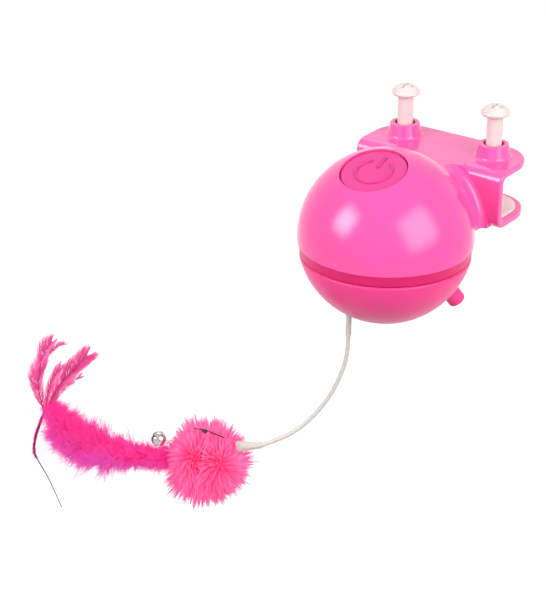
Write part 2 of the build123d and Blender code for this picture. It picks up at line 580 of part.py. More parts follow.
def tact_switch():
    half = SWITCH_SIZE / 2
    body = block(-half, half, -half, half, BOARD_TOP_K, SWITCH_TOP_K)
    body = chamfer(body.edges().filter_by(Axis.Z), 0.4)
    bore_bottom = SWITCH_TOP_K - PLUNGER_IN_SWITCH - BUTTON_TRAVEL - RUN
    return BUTTON * (body - upright(PLUNGER_R + RUN, bore_bottom, SWITCH_TOP_K + 1))


def switch_plunger():
    return BUTTON * upright(PLUNGER_R, SWITCH_TOP_K - PLUNGER_IN_SWITCH, STEM_END_K)


def board_screws():
    one = screw(TINY_SHANK_R, BOARD_T + 3.0, TINY_HEAD_R, TINY_HEAD_H)
    return [BUTTON * Pos(x, along, BOARD_TOP_K - BOARD_T) * one for x, along in BOARD_SCREWS]


# ---------------------------------------------------------------- batteries
def battery_box():
    box = block(-BOX_HALF_W, BOX_HALF_W, BOX_FRONT_Y, BOX_SEAT_Y, CELL_Z - BOX_HALF_H, CELL_Z + BOX_HALF_H)
    box = fillet(box.edges().filter_by(Axis.Y), 1.5)
    channels = [along_y(CHANNEL_R, BOX_FRONT_Y + BOX_WALL, BOX_SEAT_Y + 1, x, CELL_Z) for x in CELLS_X]
    box -= channels
    return box - block(CELLS_X[0], CELLS_X[-1], BOX_FRONT_Y + BOX_WALL, BOX_SEAT_Y + 1,
                       CELL_Z - CHANNEL_R * 0.7, CELL_Z + CHANNEL_R * 0.7)


def battery_cells():
    """Cells with their positive nubs turned the other way in the middle."""
    cells = []
    for i, x in enumerate(CELLS_X):
        cell = along_y(CELL_R, 0, CELL_L - CELL_NUB_H) + along_y(
            CELL_NUB_R, CELL_L - CELL_NUB_H, CELL_L)
        if i % 2:
            cell = Pos(0, CELL_L, 0) * Rot(0, 0, 180) * cell
        cells.append(Pos(x, CELL_FRONT_Y, CELL_Z) * cell)
    return cells


def battery_contacts():
    """Flat plates in the box's front wall and springs on the door."""
    front = BOX_FRONT_Y + BOX_WALL
    pieces = []
    for x in CELLS_X:
        half = CONTACT_HALF_W
        plate = block(x - half, x + half, front, front + CONTACT_T, CELL_Z - half, CELL_Z + half)
        pieces.append(plate + along_y(CONTACT_PIP_R, front + CONTACT_T, CELL_FRONT_Y, x, CELL_Z))
        back = DOOR_Y
        half = SPRING_PLATE_HALF_W
        spring_plate = block(x - half, x + half, back - CONTACT_T, back, CELL_Z - half, CELL_Z + half)
        spring = Pos(x, back - CONTACT_T - SPRING_L / 2, CELL_Z) * Rot(90, 0, 0) * Cone(
            SPRING_WIDE_R, SPRING_TIP_R, SPRING_L)
        spring -= along_y(SPRING_BORE_R, back - CONTACT_T - SPRING_L, back - CONTACT_T, x, CELL_Z)
        pieces.append(spring_plate + spring)
    return pieces


def battery_door():
    door = door_outline(0, DOOR_T)
    door -= along_y(SMALL_SHANK_R + HOLE_CLEARANCE, DOOR_Y - 1, WALL_BACK_Y + 1, DOOR_SCREW_X, CELL_Z + DOOR_TAB_UP)
    door -= along_y(SMALL_HEAD_R + 0.1, DOOR_Y + DOOR_T - SMALL_HEAD_H * 0.7, WALL_BACK_Y + 1,
                    DOOR_SCREW_X, CELL_Z + DOOR_TAB_UP)
    for z in (-3.0, 0.0, 3.0):
        door -= block(-DOOR_HALF_W + 3, -DOOR_HALF_W + 9, WALL_BACK_Y - 0.5, WALL_BACK_Y + 1,
                      CELL_Z + z - 0.6, CELL_Z + z + 0.6)
    return door


def door_screw():
    seat = DOOR_Y + DOOR_T - SMALL_HEAD_H * 0.7
    one = screw(SMALL_SHANK_R, DOOR_SCREW_L, SMALL_HEAD_R, SMALL_HEAD_H * 0.7)
    return Pos(DOOR_SCREW_X, seat, CELL_Z + DOOR_TAB_UP) * Rot(90, 0, 0) * one


# ---------------------------------------------------------------- gear train
def gear_face(teeth, tip_share, phase):
    """A spur gear's outline, with a tooth centred on the direction `phase`, in degrees."""
    pitch_r = MODULE * teeth / 2
    base_r = pitch_r * math.cos(math.radians(PRESSURE_ANGLE))
    tip_r = pitch_r + tip_share * MODULE
    root_r = pitch_r - ROOT * MODULE

    def involute(radius):
        angle = math.acos(min(1.0, base_r / radius))
        return math.tan(angle) - angle

    def half_angle(radius):
        at_pitch = math.pi / (2 * teeth) - BACKLASH / (2 * pitch_r)
        return at_pitch + involute(pitch_r) - involute(max(radius, base_r))

    radii = [root_r, max(root_r + 0.02, base_r), (base_r + tip_r) / 2, tip_r]
    points = []
    for i in range(teeth):
        centre = math.radians(phase) + 2 * math.pi * i / teeth
        for side, order in ((-1, radii), (1, radii[::-1])):
            for radius in order:
                angle = centre + side * half_angle(radius)
                points.append((radius * math.cos(angle), radius * math.sin(angle)))
    return make_face(Polyline(points, close=True))


def gear(teeth, tip_share, phase, bottom, top):
    return Pos(0, 0, bottom) * extrude(gear_face(teeth, tip_share, phase), top - bottom)


SHORT_CENTRES = MODULE * (PINION_TEETH + WHEEL_TEETH) / 2
LONG_CENTRES = MODULE * (PINION_TEETH + OUTPUT_TEETH) / 2
SECOND_GEAR = polar(LONG_CENTRES, SECOND_GEAR_DIR)
FIRST_GEAR = tuple(a + b for a, b in zip(SECOND_GEAR, polar(SHORT_CENTRES, FIRST_GEAR_DIR)))
MOTOR_AXIS = tuple(a + b for a, b in zip(FIRST_GEAR, polar(SHORT_CENTRES, MOTOR_DIR)))
HALF_PINION_TOOTH = 180.0 / PINION_TEETH


def compound_gear(at, wheel_phase, pinion_phase, pinion_bottom, wheel_bottom):
    """A wheel with a pinion below it, free on its axle."""
    body = gear(PINION_TEETH, PINION_TIP, pinion_phase, pinion_bottom, wheel_bottom)
    body += gear(WHEEL_TEETH, WHEEL_TIP, wheel_phase, wheel_bottom, wheel_bottom + GEAR_T)
    # a dished web, as moulded wheels have
    web_r = MODULE * WHEEL_TEETH / 2 - 2.2
    dish = upright(web_r, wheel_bottom + GEAR_T - 1.0, wheel_bottom + GEAR_T + 1) - upright(
        2.6, wheel_bottom, wheel_bottom + GEAR_T + 2)
    body -= dish
    body -= upright(AXLE_R + AXLE_CLEARANCE, pinion_bottom - 1, wheel_bottom + GEAR_T + 1)
    return Pos(*at, 0) * body


def second_gear():
    return compound_gear(SECOND_GEAR, FIRST_GEAR_DIR, SECOND_GEAR_DIR + 180 + HALF_PINION_TOOTH, LAYER_A, LAYER_B)


def first_gear():
    return compound_gear(FIRST_GEAR, MOTOR_DIR, FIRST_GEAR_DIR + 180 + HALF_PINION_TOOTH, LAYER_B, LAYER_C)


def motor_pinion():
    body = gear(PINION_TEETH, PINION_TIP, MOTOR_DIR + 180 + HALF_PINION_TOOTH, LAYER_C, LAYER_C + GEAR_T)
    return Pos(*MOTOR_AXIS, 0) * (body - upright(AXLE_R, LAYER_C - 1, LAYER_C + GEAR_T + 1))


def motor_shaft():
    return upright(AXLE_R, LAYER_C, COVER_Z + COVER_T + MOTOR_SHAFT_IN, *MOTOR_AXIS)


def output_gear():
    """The last gear and its shaft, which passes through the bush and drives the turntable."""
    body = gear(OUTPUT_TEETH, WHEEL_TIP, SECOND_GEAR_DIR, LAYER_A, LAYER_A + GEAR_T)
    body -= upright(MODULE * OUTPUT_TEETH / 2 - 2.2, LAYER_A + GEAR_T - 1.0, LAYER_A + GEAR_T + 1)
    body += upright(SHAFT_R, SHAFT_END_Z, COVER_Z - 1.5 - END_PLAY)
    body += upright(STUB_R, COVER_Z - 2, COVER_Z + COVER_T * 0.7)
    body -= block(SHAFT_FLAT, SHAFT_R + 1, -SHAFT_R, SHAFT_R, SHAFT_END_Z - 1, TURNTABLE_TOP_Z)
    pilot_top = HUB_SCREW_SEAT_Z + HUB_SCREW_L + 1
    return body - upright(SMALL_SHANK_R + THREAD_CLEARANCE, SHAFT_END_Z - 1, pilot_top)


def shaft_bush():
    barrel = upright(SHAFT_R + BUSH_WALL, BAND_BOTTOM_Z - BUSH_STANDS_OUT, FLOOR_TOP_Z)
    barrel += upright(BUSH_FLANGE_R, FLOOR_TOP_Z, FLOOR_TOP_Z + BUSH_FLANGE_T)
    return barrel - upright(SHAFT_R + RUN * 0.8, BAND_BOTTOM_Z - 2, FLOOR_TOP_Z + 2)


def gear_axles():
    bottom, top = FLOOR_TOP_Z - 2.0, COVER_Z + COVER_T * 0.7
    return [upright(AXLE_R, bottom, top, *at) for at in (FIRST_GEAR, SECOND_GEAR)]


def gearbox_cover():
    """The top plate of the gearbox, on posts, with the motor's cradle."""
    rims = [Pos(x, y) * Circle(POST_R + 1.5) for x, y in COVER_POSTS]
    rims.append(Pos(*MOTOR_AXIS) * Circle(MOTOR_W / 2 + CRADLE_WALL + 2.2))
    outline = make_hull([edge for rim in rims for edge in rim.edges()])
    cover = Pos(0, 0, COVER_Z) * extrude(outline, COVER_T)
    for x, y in COVER_POSTS:
        cover += upright(POST_R, FLOOR_TOP_Z, COVER_Z, x, y)
    for (x, y), bottom, radius in (
        (FIRST_GEAR, LAYER_C + GEAR_T + END_PLAY, 2.0),
        (SECOND_GEAR, LAYER_B + GEAR_T + END_PLAY, 1.5),
        ((0.0, 0.0), COVER_Z - 1.5, 3.0),
    ):
        cover += upright(radius, bottom, COVER_Z + 0.2, x, y)
    for at in (FIRST_GEAR, SECOND_GEAR):
        cover -= upright(AXLE_R + 0.01, LAYER_A, COVER_Z + COVER_T * 0.7, *at)
    cover -= upright(STUB_R + RUN, LAYER_A, COVER_Z + COVER_T * 0.7 + 0.1)
    cradle = motor_outline(CRADLE_WALL + 0.1, CRADLE_H) - motor_outline(0.1, CRADLE_H + 1)
    cover += cradle
    cover -= upright(MOTOR_BOSS_R + 0.1, COVER_Z - 1, COVER_Z + COVER_T + 1, *MOTOR_AXIS)
    for x, y in COVER_POSTS:
        cover -= upright(TINY_SHANK_R + THREAD_CLEARANCE, COVER_Z + COVER_T - 7, COVER_Z + COVER_T + 1, x, y)
    return cover


def motor_outline(grow, height):
    """The motor's flat-sided round body, standing on the gearbox cover."""
    x, y = MOTOR_AXIS
    outline = Pos(x, y) * RectangleRounded(MOTOR_W + 2 * grow, MOTOR_D + 2 * grow, MOTOR_CORNER + grow)
    return Pos(0, 0, COVER_Z + COVER_T) * extrude(outline, height)


def motor():
    can = motor_outline(0, MOTOR_H)
    can = fillet(can.edges().group_by(Axis.Z)[-1], MOTOR_EDGE)
    base = COVER_Z + COVER_T
    back, tab_top = MOTOR_AXIS[1] + MOTOR_D / 2, base + MOTOR_H - MOTOR_TAB_DROP
    can += upright(MOTOR_BOSS_R, base - COVER_T, base, *MOTOR_AXIS)
    can -= upright(AXLE_R + AXLE_CLEARANCE, base - COVER_T - 1, base + MOTOR_SHAFT_IN + 0.5, *MOTOR_AXIS)
    for x in (MOTOR_AXIS[0] - MOTOR_TAB_X, MOTOR_AXIS[0] + MOTOR_TAB_X):
        can += block(x - MOTOR_TAB_T / 2, x + MOTOR_TAB_T / 2, back - MOTOR_TAB_IN, back + MOTOR_TAB_OUT,
                     tab_top - MOTOR_TAB_H, tab_top)
    return can


def gearbox_screws():
    one = Rot(180, 0, 0) * screw(TINY_SHANK_R, GEARBOX_SCREW_L, TINY_HEAD_R, TINY_HEAD_H)
    return [Pos(x, y, COVER_Z + COVER_T) * one for x, y in COVER_POSTS]


# ---------------------------------------------------------------- turning lower half
def turntable():
    """The disc on the output shaft, which carries the slip rings and seats on the bowl's hub."""
    disc = upright(TURNTABLE_R, TURNTABLE_TOP_Z - TURNTABLE_T, TURNTABLE_TOP_Z)
    disc += upright(HUB_R, SHAFT_END_Z, TURNTABLE_TOP_Z)
    for i in range(6):
        x, y = polar((HUB_R + TURNTABLE_R) / 2 + 9.0, 60 * i)
        disc -= upright(4.0, TURNTABLE_TOP_Z - TURNTABLE_T - 1, TURNTABLE_TOP_Z + 1, x, y)
    bore = upright(SHAFT_R + 0.02, SHAFT_END_Z - 1, TURNTABLE_TOP_Z + 1)
    bore -= block(SHAFT_FLAT + 0.02, SHAFT_R + 2, -FAR, FAR, SHAFT_END_Z - 2, TURNTABLE_TOP_Z)
    return disc - bore


def slip_rings():
    return [
        upright(outer, TURNTABLE_TOP_Z, TURNTABLE_TOP_Z + RING_T)
        - upright(inner, TURNTABLE_TOP_Z - 1, TURNTABLE_TOP_Z + 2)
        for inner, outer in RING_RADII
    ]


def brush_contacts():
    """Leaf springs under the chassis plate, one over each slip ring."""
    top = BAND_BOTTOM_Z
    low = TURNTABLE_TOP_Z + RING_T + END_PLAY
    leaves = []
    for inner, outer in RING_RADII:
        outline = [(-9.0, top), (-3.5, top), (0.0, low + BRUSH_T), (2.5, low + BRUSH_T + 0.3),
                   (2.5, low + 0.3), (0.0, low), (-3.7, top - BRUSH_T), (-9.0, top - BRUSH_T)]
        side = Plane.XZ * make_face(Polyline(outline, close=True))
        leaf = extrude(side, BRUSH_W / 2, both=True)
        x, y = polar((inner + outer) / 2, BRUSH_DIR)
        leaves.append(Pos(x, y, 0) * Rot(0, 0, BRUSH_DIR + 90) * leaf)
    return leaves


def nozzle_plane():
    """The laser's frame: its origin where the axis meets the ball, +Z outwards."""
    latitude, drop = math.radians(NOZZLE_LATITUDE), math.radians(NOZZLE_DROP)
    px, py = polar(BALL_R * math.cos(latitude), NOZZLE_DIR)
    dx, dy = polar(math.cos(drop), NOZZLE_DIR)
    return Plane(origin=(px, py, BALL_R * math.sin(latitude)), z_dir=(dx, dy, -math.sin(drop)))


NOZZLE = Location(nozzle_plane())


def bowl_shell():
    """The turning lower half of the ball, with its hub, ribs and the seats of nozzle and wire socket."""
    below = block(-FAR, FAR, -FAR, FAR, BOWL_FLAT_Z, BOWL_RIM_Z)
    outer = Sphere(BALL_R) & below
    inner = Sphere(CAVITY_R) & block(-FAR, FAR, -FAR, FAR, BOWL_FLAT_Z + WALL, 0)
    shell = outer - inner
    rim = shell.edges().filter_by(GeomType.CIRCLE).group_by(Axis.Z)[-1].sort_by(SortBy.RADIUS)[-1]
    shell = fillet([rim], BOWL_RIM_ROUND)
    hub = upright(HUB_R, BOWL_FLAT_Z + WALL / 2, SHAFT_END_Z)
    for direction in BOWL_RIB_DIRS:
        rib = block(0, CAVITY_R, -RIB_T / 2, RIB_T / 2, BOWL_FLAT_Z + WALL / 2, BOWL_RIB_TOP_Z)
        hub += Rot(0, 0, direction) * rib & Sphere(CAVITY_R + WALL / 2)
    hub &= block(-FAR, FAR, -FAR, FAR, BOWL_FLAT_Z + WALL / 2, SHAFT_END_Z)
    inside = Sphere(CAVITY_R + WALL / 2)
    nozzle_seat = NOZZLE * upright(NOZZLE_FLANGE_R + 0.5, -NOZZLE_SEAT, 2) & inside
    socket_x, socket_y = polar(SOCKET_S, SWING_DIR)
    socket_seat = upright(SOCKET_FLANGE_R + 0.3, BOWL_FLAT_Z, SOCKET_SEAT_Z, socket_x, socket_y) & inside
    shell += [hub, nozzle_seat, socket_seat]
    shell -= NOZZLE * upright(NOZZLE_R + 0.05, -NOZZLE_SEAT - 1, 8)
    shell -= upright(SOCKET_R + 0.05, BOWL_FLAT_Z - 1, SOCKET_SEAT_Z + 1, socket_x, socket_y)
    shell -= upright(SMALL_SHANK_R + HOLE_CLEARANCE, BOWL_FLAT_Z - 1, SHAFT_END_Z + 1)
    return shell - upright(SMALL_HEAD_R + 0.6, BOWL_FLAT_Z - 1, HUB_SCREW_SEAT_Z)


def hub_screw():
    return Pos(0, 0, HUB_SCREW_SEAT_Z) * screw(SMALL_SHANK_R, HUB_SCREW_L, SMALL_HEAD_R, SMALL_HEAD_H)


def laser_nozzle():
    """A round-ended tube with a flange that seats inside the bowl."""
    tube = upright(NOZZLE_R, -NOZZLE_SEAT, NOZZLE_OUT)
    tube = fillet(tube.edges().group_by(Axis.Z)[-1], NOZZLE_ROUND)
    tube += upright(NOZZLE_FLANGE_R, -NOZZLE_SEAT - NOZZLE_FLANGE_T, -NOZZLE_SEAT)
    tube -= upright(LASER_R + 0.05, -NOZZLE_SEAT - NOZZLE_FLANGE_T - 1, NOZZLE_OUT - APERTURE_L)
    return NOZZLE * (tube - upright(APERTURE_R, 0, NOZZLE_OUT + 1))


LENS_BACK = NOZZLE_OUT - APERTURE_L - LENS_T


def laser_module():
    barrel = upright(LASER_R, LENS_BACK - LASER_L, LENS_BACK)
    return NOZZLE * chamfer(barrel.edges().group_by(Axis.Z)[0], 0.4)


def laser_lens():
    flat = upright(LENS_R, LENS_BACK, LENS_BACK + LENS_T)
    return NOZZLE * fillet(flat.edges().group_by(Axis.Z)[-1], 0.3)


# ---------------------------------------------------------------- teaser wire and lure
def wire_socket():
    """A moulded plug with a flange inside the bowl, and the sleeve that grips the wire."""
    x, y = polar(SOCKET_S, SWING_DIR)
    outline = [
        (0, SOCKET_SEAT_Z + SOCKET_FLANGE_T), (SOCKET_FLANGE_R, SOCKET_SEAT_Z + SOCKET_FLANGE_T),
        (SOCKET_FLANGE_R, SOCKET_SEAT_Z), (SOCKET_R, SOCKET_SEAT_Z), (SOCKET_R, SOCKET_COLLAR_Z),
        (SLEEVE_R, SOCKET_COLLAR_Z - 1.2), (SLEEVE_R, SLEEVE_END_Z), (0, SLEEVE_END_Z),
    ]
    return Pos(x, y, 0) * revolve(Plane.XZ * make_face(Polyline(outline, close=True)), Axis.Z, 360)


def arc_radii(points):
    """Each arc takes as much of its two runs as they allow."""
    radii = []
    for before, corner, after in zip(points, points[1:], points[2:]):
        turn = (corner - before).get_angle(after - corner)
        shorter = min((corner - before).length, (after - corner).length)
        radii.append(0.45 * shorter / math.tan(math.radians(turn) / 2))
    return radii


def cord_tube(route, radius, name):
    points = [swing(s, z) for s, z in route]
    radii = arc_radii(points)
    path = FilletPolyline(*points, radius=radii)
    start = Plane(origin=path @ 0, z_dir=path % 0)
    tube = sweep(start * Circle(radius), path=path)
    share = tube.volume / (math.pi * radius**2 * path.length)
    print(name, "arc radii", [round(r, 1) for r in radii], "length", round(path.length, 1),
          "volume against section times length", round(share, 4))
    return tube


def teaser_wire():
    return cord_tube(WIRE_ROUTE, WIRE_R, "teaser_wire")


def aimed(start, towards):
    """A frame at one point with +Z towards another."""
    return Location(Plane(origin=start, z_dir=towards - start))


def in_swing_plane(start, towards):
    return aimed(swing(*start), swing(*towards))


def wire_connector():
    """The sleeve that joins the wire to the lure, with a trumpet end inside the plush."""
    end, before = WIRE_ROUTE[-1], WIRE_ROUTE[-2]
    ahead = (2 * end[0] - before[0], 2 * end[1] - before[1])
    outline = [(0, 0), (COLLAR_R, 0), (COLLAR_R, COLLAR_L), (FLARE_R, COLLAR_L + FLARE_L), (0, COLLAR_L + FLARE_L)]
    return in_swing_plane(end, ahead) * revolve(Plane.XZ * make_face(Polyline(outline, close=True)), Axis.Z, 360)


def plush_blank():
    """An egg-shaped ball that stands upright in the lure's plane."""
    half = make_face([
        Line((0, -PLUSH_HALF_H), (PLUSH_POLE_R, -PLUSH_HALF_H)),
        Spline([(PLUSH_POLE_R, -PLUSH_HALF_H), (PLUSH_R * 0.8, -PLUSH_HALF_H * 0.6), (PLUSH_R, 0),
                (PLUSH_R * 0.8, PLUSH_HALF_H * 0.6), (PLUSH_POLE_R, PLUSH_HALF_H)], tangents=[(1, 0), (-1, 0)]),
        Line((PLUSH_POLE_R, PLUSH_HALF_H), (0, PLUSH_HALF_H)),
        Line((0, PLUSH_HALF_H), (0, -PLUSH_HALF_H)),
    ])
    return Pos(swing(PLUSH_S, PLUSH_Z)) * revolve(Plane.XZ * half, Axis.Z, 360)


def plush_ball():
    return plush_blank() - wire_connector()


def tail_blank():
    """A spindle along the boa's axis."""
    length = (swing(*TAIL_END) - swing(*TAIL_START)).length
    half = make_face([
        Spline([(0, 0), (TAIL_R * 0.85, length * 0.14), (TAIL_R, length * 0.5), (TAIL_R * 0.8, length * 0.88),
                (0, length)]),
        Line((0, length), (0, 0)),
    ])
    return in_swing_plane(TAIL_START, TAIL_END) * revolve(Plane.XZ * half, Axis.Z, 360)


def marabou_tail():
    return tail_blank() - plush_blank()


def bell_frame():
    """The bell's middle, with +Z from it through its eye to the middle of the plush."""
    return aimed(swing(BELL_S, BELL_Z) - SWING_PLANE.z_dir * BELL_OUT, swing(PLUSH_S, PLUSH_Z))


def jingle_bell():
    """A pressed ball of two halves with a crossed slot and an eye."""
    ball = Sphere(BELL_R) + upright(BELL_R + BELL_RIM, -0.3, 0.3)
    ball -= Sphere(BELL_R - 0.5)
    for turn in (0, 90):
        ball -= Rot(0, 0, turn) * block(-BELL_R * 0.75, BELL_R * 0.75, -BELL_SLOT_W / 2, BELL_SLOT_W / 2,
                                        -BELL_R - 1, -BELL_R * 0.3)
    eye = Pos(0, 0, BELL_R + BELL_EYE_R - 0.5) * Rot(90, 0, 0) * Torus(BELL_EYE_R, BELL_EYE_WIRE_R)
    return bell_frame() * (ball + eye)


def toy_thread():
    """The stitch that ties the bell to the plush: a short run from the eye into the pile."""
    start = BELL_R + 2 * BELL_EYE_R + BELL_EYE_WIRE_R - 0.5
    thread = bell_frame() * upright(THREAD_R, start, start + 12.0)
    return thread - plush_blank()


def hackle_feathers():
    """Three pointed feathers that rise from the boa's end, each a thin curved blade."""
    blades = []
    for i, tip in enumerate(HACKLE_TIPS):
        root = Vector(*HACKLE_ROOT)
        point = Vector(*tip)
        axis = (point - root).normalized()
        across = Vector(-axis.Y, axis.X)
        middle = root + (point - root) * 0.45
        left, right = middle + across * HACKLE_HALF_W, middle - across * HACKLE_HALF_W
        leaf = make_face([ThreePointArc(root, left, point), ThreePointArc(point, right, root)])
        offset = (i - 1) * (HACKLE_T + 1.0)
        blade = SWING * Pos(0, 0, offset - HACKLE_T / 2) * extrude(leaf, HACKLE_T)
        blades.append(blade - tail_blank())
    return blades


def quill_feather():
    return cord_tube(QUILL_ROUTE, QUILL_R, "quill_feather")


# ---------------------------------------------------------------- clamp screws, pad, fasteners
def clamp_screw(side):
    """A nylon thumb screw with a domed pan head, up at the top of its travel."""
    rim_z = HEAD_UNDER_Z + HEAD_RIM_H
    top_z = rim_z + HEAD_DOME_H
    outline = [
        Line((0, SCREW_TIP_Z), (SHANK_R - 0.6, SCREW_TIP_Z)),
        Line((SHANK_R - 0.6, SCREW_TIP_Z), (SHANK_R, SCREW_TIP_Z + 0.6)),
        Line((SHANK_R, SCREW_TIP_Z + 0.6), (SHANK_R, HEAD_UNDER_Z)),
        Line((SHANK_R, HEAD_UNDER_Z), (HEAD_R - 0.5, HEAD_UNDER_Z)),
        Line((HEAD_R - 0.5, HEAD_UNDER_Z), (HEAD_R, rim_z)),
        ThreePointArc((HEAD_R, rim_z), (HEAD_R * 0.64, rim_z + HEAD_DOME_H * 0.76), (0, top_z)),
        Line((0, top_z), (0, SCREW_TIP_Z)),
    ]
    body = revolve(Plane.XZ * make_face(outline), Axis.Z, 360)
    for turn in (0, 90):
        body -= Rot(0, 0, turn) * block(-CROSS_L / 2, CROSS_L / 2, -CROSS_W / 2, CROSS_W / 2,
                                        top_z - CROSS_DEPTH, top_z + 1)
    return Pos(side * SCREW_X, SCREW_Y, 0) * body


def grip_pad():
    outline = jaw_outline(PAD_INSET + PAD_GAP, PAD_FRONT_Y + PAD_GAP)
    pad = Pos(0, 0, JAW_TOP_Z - PAD_POCKET) * extrude(outline, PAD_POCKET + PAD_PROUD)
    return fillet(pad.edges().group_by(Axis.Z)[-1], 0.3)


def chassis_screws():
    one = screw(SMALL_SHANK_R, CHASSIS_SCREW_L, SMALL_HEAD_R, SMALL_HEAD_H)
    return [Pos(x, y, SCREW_SEAT_Z) * one for x, y in CHASSIS_SCREWS]


def housing_screws():
    one = Rot(90, 0, 0) * screw(SMALL_SHANK_R, HOUSING_SCREW_L, SMALL_HEAD_R, SMALL_HEAD_H)
    return [Pos(side * HOUSING_SCREW_X, HOUSING_SEAT_Y, HOUSING_SCREW_Z) * one for side in (-1, 1)]


# ---------------------------------------------------------------- write every piece
def main():
    os.makedirs("parts", exist_ok=True)
    single = [
        front_dome, rear_housing, chassis_plate, power_button, switch_plunger, tact_switch, circuit_board,
        battery_box, battery_door, door_screw, motor, motor_shaft, motor_pinion, first_gear, second_gear,
        gearbox_cover, output_gear, shaft_bush, turntable, hub_screw, bowl_shell, laser_nozzle, laser_module,
        laser_lens, wire_socket, teaser_wire, wire_connector, plush_ball, marabou_tail, jingle_bell,
        toy_thread, quill_feather, grip_pad,
    ]
    for piece in single:
        write(piece.__name__, piece())
    groups = [
        board_screws, battery_cells, battery_contacts, gear_axles, gearbox_screws, slip_rings,
        brush_contacts, hackle_feathers, chassis_screws, housing_screws,
    ]
    for piece in groups:
        write(piece.__name__, *piece())
    write("clamp_screw_left", clamp_screw(-1))
    write("clamp_screw_right", clamp_screw(1))
    print(len(SEVERAL), "nodes,", sum(SEVERAL.values()), "pieces")


main()
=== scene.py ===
# %% [markdown]
# # An automatic laser and feather toy for cats
#
# A glossy pink ball clamps to the edge of a table. Its lower half turns slowly, with a laser nozzle and a
# springy white wire on which a plush ball, a bell and a feather lure hang. The engineering model gives each
# solid its place. This script gives every one its finish and remakes the soft ones: wire, fur and feathers.

import math

import bmesh
import bpy
import numpy as np
from mathutils import Matrix, Vector, noise


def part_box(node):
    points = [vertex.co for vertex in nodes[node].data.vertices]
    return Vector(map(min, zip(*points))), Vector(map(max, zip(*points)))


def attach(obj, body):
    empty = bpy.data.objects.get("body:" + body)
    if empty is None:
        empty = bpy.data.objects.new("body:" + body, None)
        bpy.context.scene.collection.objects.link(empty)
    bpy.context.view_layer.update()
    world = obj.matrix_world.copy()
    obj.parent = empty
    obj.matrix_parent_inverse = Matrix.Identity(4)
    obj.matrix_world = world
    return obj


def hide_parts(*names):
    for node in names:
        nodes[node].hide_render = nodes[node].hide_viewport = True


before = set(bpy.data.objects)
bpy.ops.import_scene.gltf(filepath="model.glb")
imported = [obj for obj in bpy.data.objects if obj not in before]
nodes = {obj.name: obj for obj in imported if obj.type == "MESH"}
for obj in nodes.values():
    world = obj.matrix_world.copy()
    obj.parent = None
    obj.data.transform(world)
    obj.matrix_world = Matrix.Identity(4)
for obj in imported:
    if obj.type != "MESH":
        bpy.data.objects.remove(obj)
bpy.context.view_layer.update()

# %% [markdown]
# ## One way to say where things are
#
# The ball's middle is the natural origin of this toy. The lure hangs in an upright plane through the ball's
# axis, so a place on it is said as: how far from the axis, how high, and how far in front of that plane.

# %% Places on the toy, in millimetres
MM = 0.001
BALL = Vector((0, -57, -4.6)) * MM
SWING_DIR = math.radians(212.4)
ALONG = Vector((math.cos(SWING_DIR), math.sin(SWING_DIR), 0))
OUT = Vector((-ALONG.y, ALONG.x, 0))
UP = Vector((0, 0, 1))


def lure_point(s, z, out=0.0):
    """A point of the lure: s mm from the ball's axis, z mm above the ball's middle, out mm in front."""
    return BALL + (ALONG * s + OUT * out + UP * z) * MM


print("the lure hangs on the side of the ball towards", [round(c, 3) for c in ALONG])

# %% [markdown]
# ## Camera
#
# A long lens from a little above and to the right keeps the ball round. The camera could look straight at
# the ball, but the lure needs room on the left, so it is aimed at a point beside and below the ball. No
# shift or blur is used. The picture's own directions, side, above and toward, serve later steps too.

# %% The camera
AZIMUTH, ELEVATION = math.radians(32.4), math.radians(23.5)
CAMERA_AWAY = 0.8946
AIM_ASIDE, AIM_ABOVE, AIM_TOWARD = -0.05493, -0.03365, 0.00232
toward = Vector((math.sin(AZIMUTH) * math.cos(ELEVATION), -math.cos(AZIMUTH) * math.cos(ELEVATION),
                 math.sin(ELEVATION)))
side = Vector((math.cos(AZIMUTH), math.sin(AZIMUTH), 0))
above = toward.cross(side)


def picture_direction(aside, up, front):
    """A unit vector from how far to the right, up and toward the viewer it points."""
    return (side * aside + above * up + toward * front).normalized()


def in_scene(name, data):
    """An object that shows the data, linked to the scene."""
    obj = bpy.data.objects.new(name, data)
    scene.collection.objects.link(obj)
    return obj


scene = bpy.context.scene
camera_data = bpy.data.cameras.new("camera")
camera_data.lens, camera_data.sensor_width, camera_data.clip_start = 108, 36, 0.01
camera = in_scene("camera", camera_data)
camera.location = BALL + toward * CAMERA_AWAY
target = BALL + side * AIM_ASIDE + above * AIM_ABOVE + toward * AIM_TOWARD
camera.rotation_euler = (target - camera.location).to_track_quat("-Z", "Y").to_euler()
scene.camera = camera
scene.view_settings.view_transform = "Standard"
print("the camera stands", round((camera.location - BALL).length, 3), "m from the ball")

# %% [markdown]
# ## The teaser wire comes first
#
# The wire is a fixed length of springy plastic-coated steel: straight down out of its socket, then one long
# bow under the weight of the lure. A polyline would show its corners, and a NURBS spline with a few points
# gives exactly that calm line.

# %% The teaser wire
WIRE_ROUTE = [(17.5, -56.0), (17.5, -66.5), (20.9, -79.5), (27.6, -94.3), (38.6, -108.6),
              (50.2, -117.6), (62.0, -122.5)]
WIRE_R = 1.15


def nurbs_curve(name, points, radius):
    """One open, smooth NURBS line with a round section. Its order is set after its points are added."""
    data = bpy.data.curves.new(name, "CURVE")
    data.dimensions, data.resolution_u, data.use_fill_caps = "3D", 16, True
    data.bevel_depth, data.bevel_resolution = 1.0, 6
    spline = data.splines.new("NURBS")
    spline.points.add(len(points) - 1)
    for p, place in zip(spline.points, points):
        p.co, p.radius = (*place, 1), radius
    spline.order_u, spline.use_endpoint_u = 3, True
    return in_scene(name, data)


wire = nurbs_curve("wire", [lure_point(s, z) for s, z in WIRE_ROUTE], WIRE_R * MM)
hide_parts("teaser_wire")
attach(wire, "bowl")
print("the wire leaves the bowl at", [round(c, 4) for c in lure_point(*WIRE_ROUTE[0])])

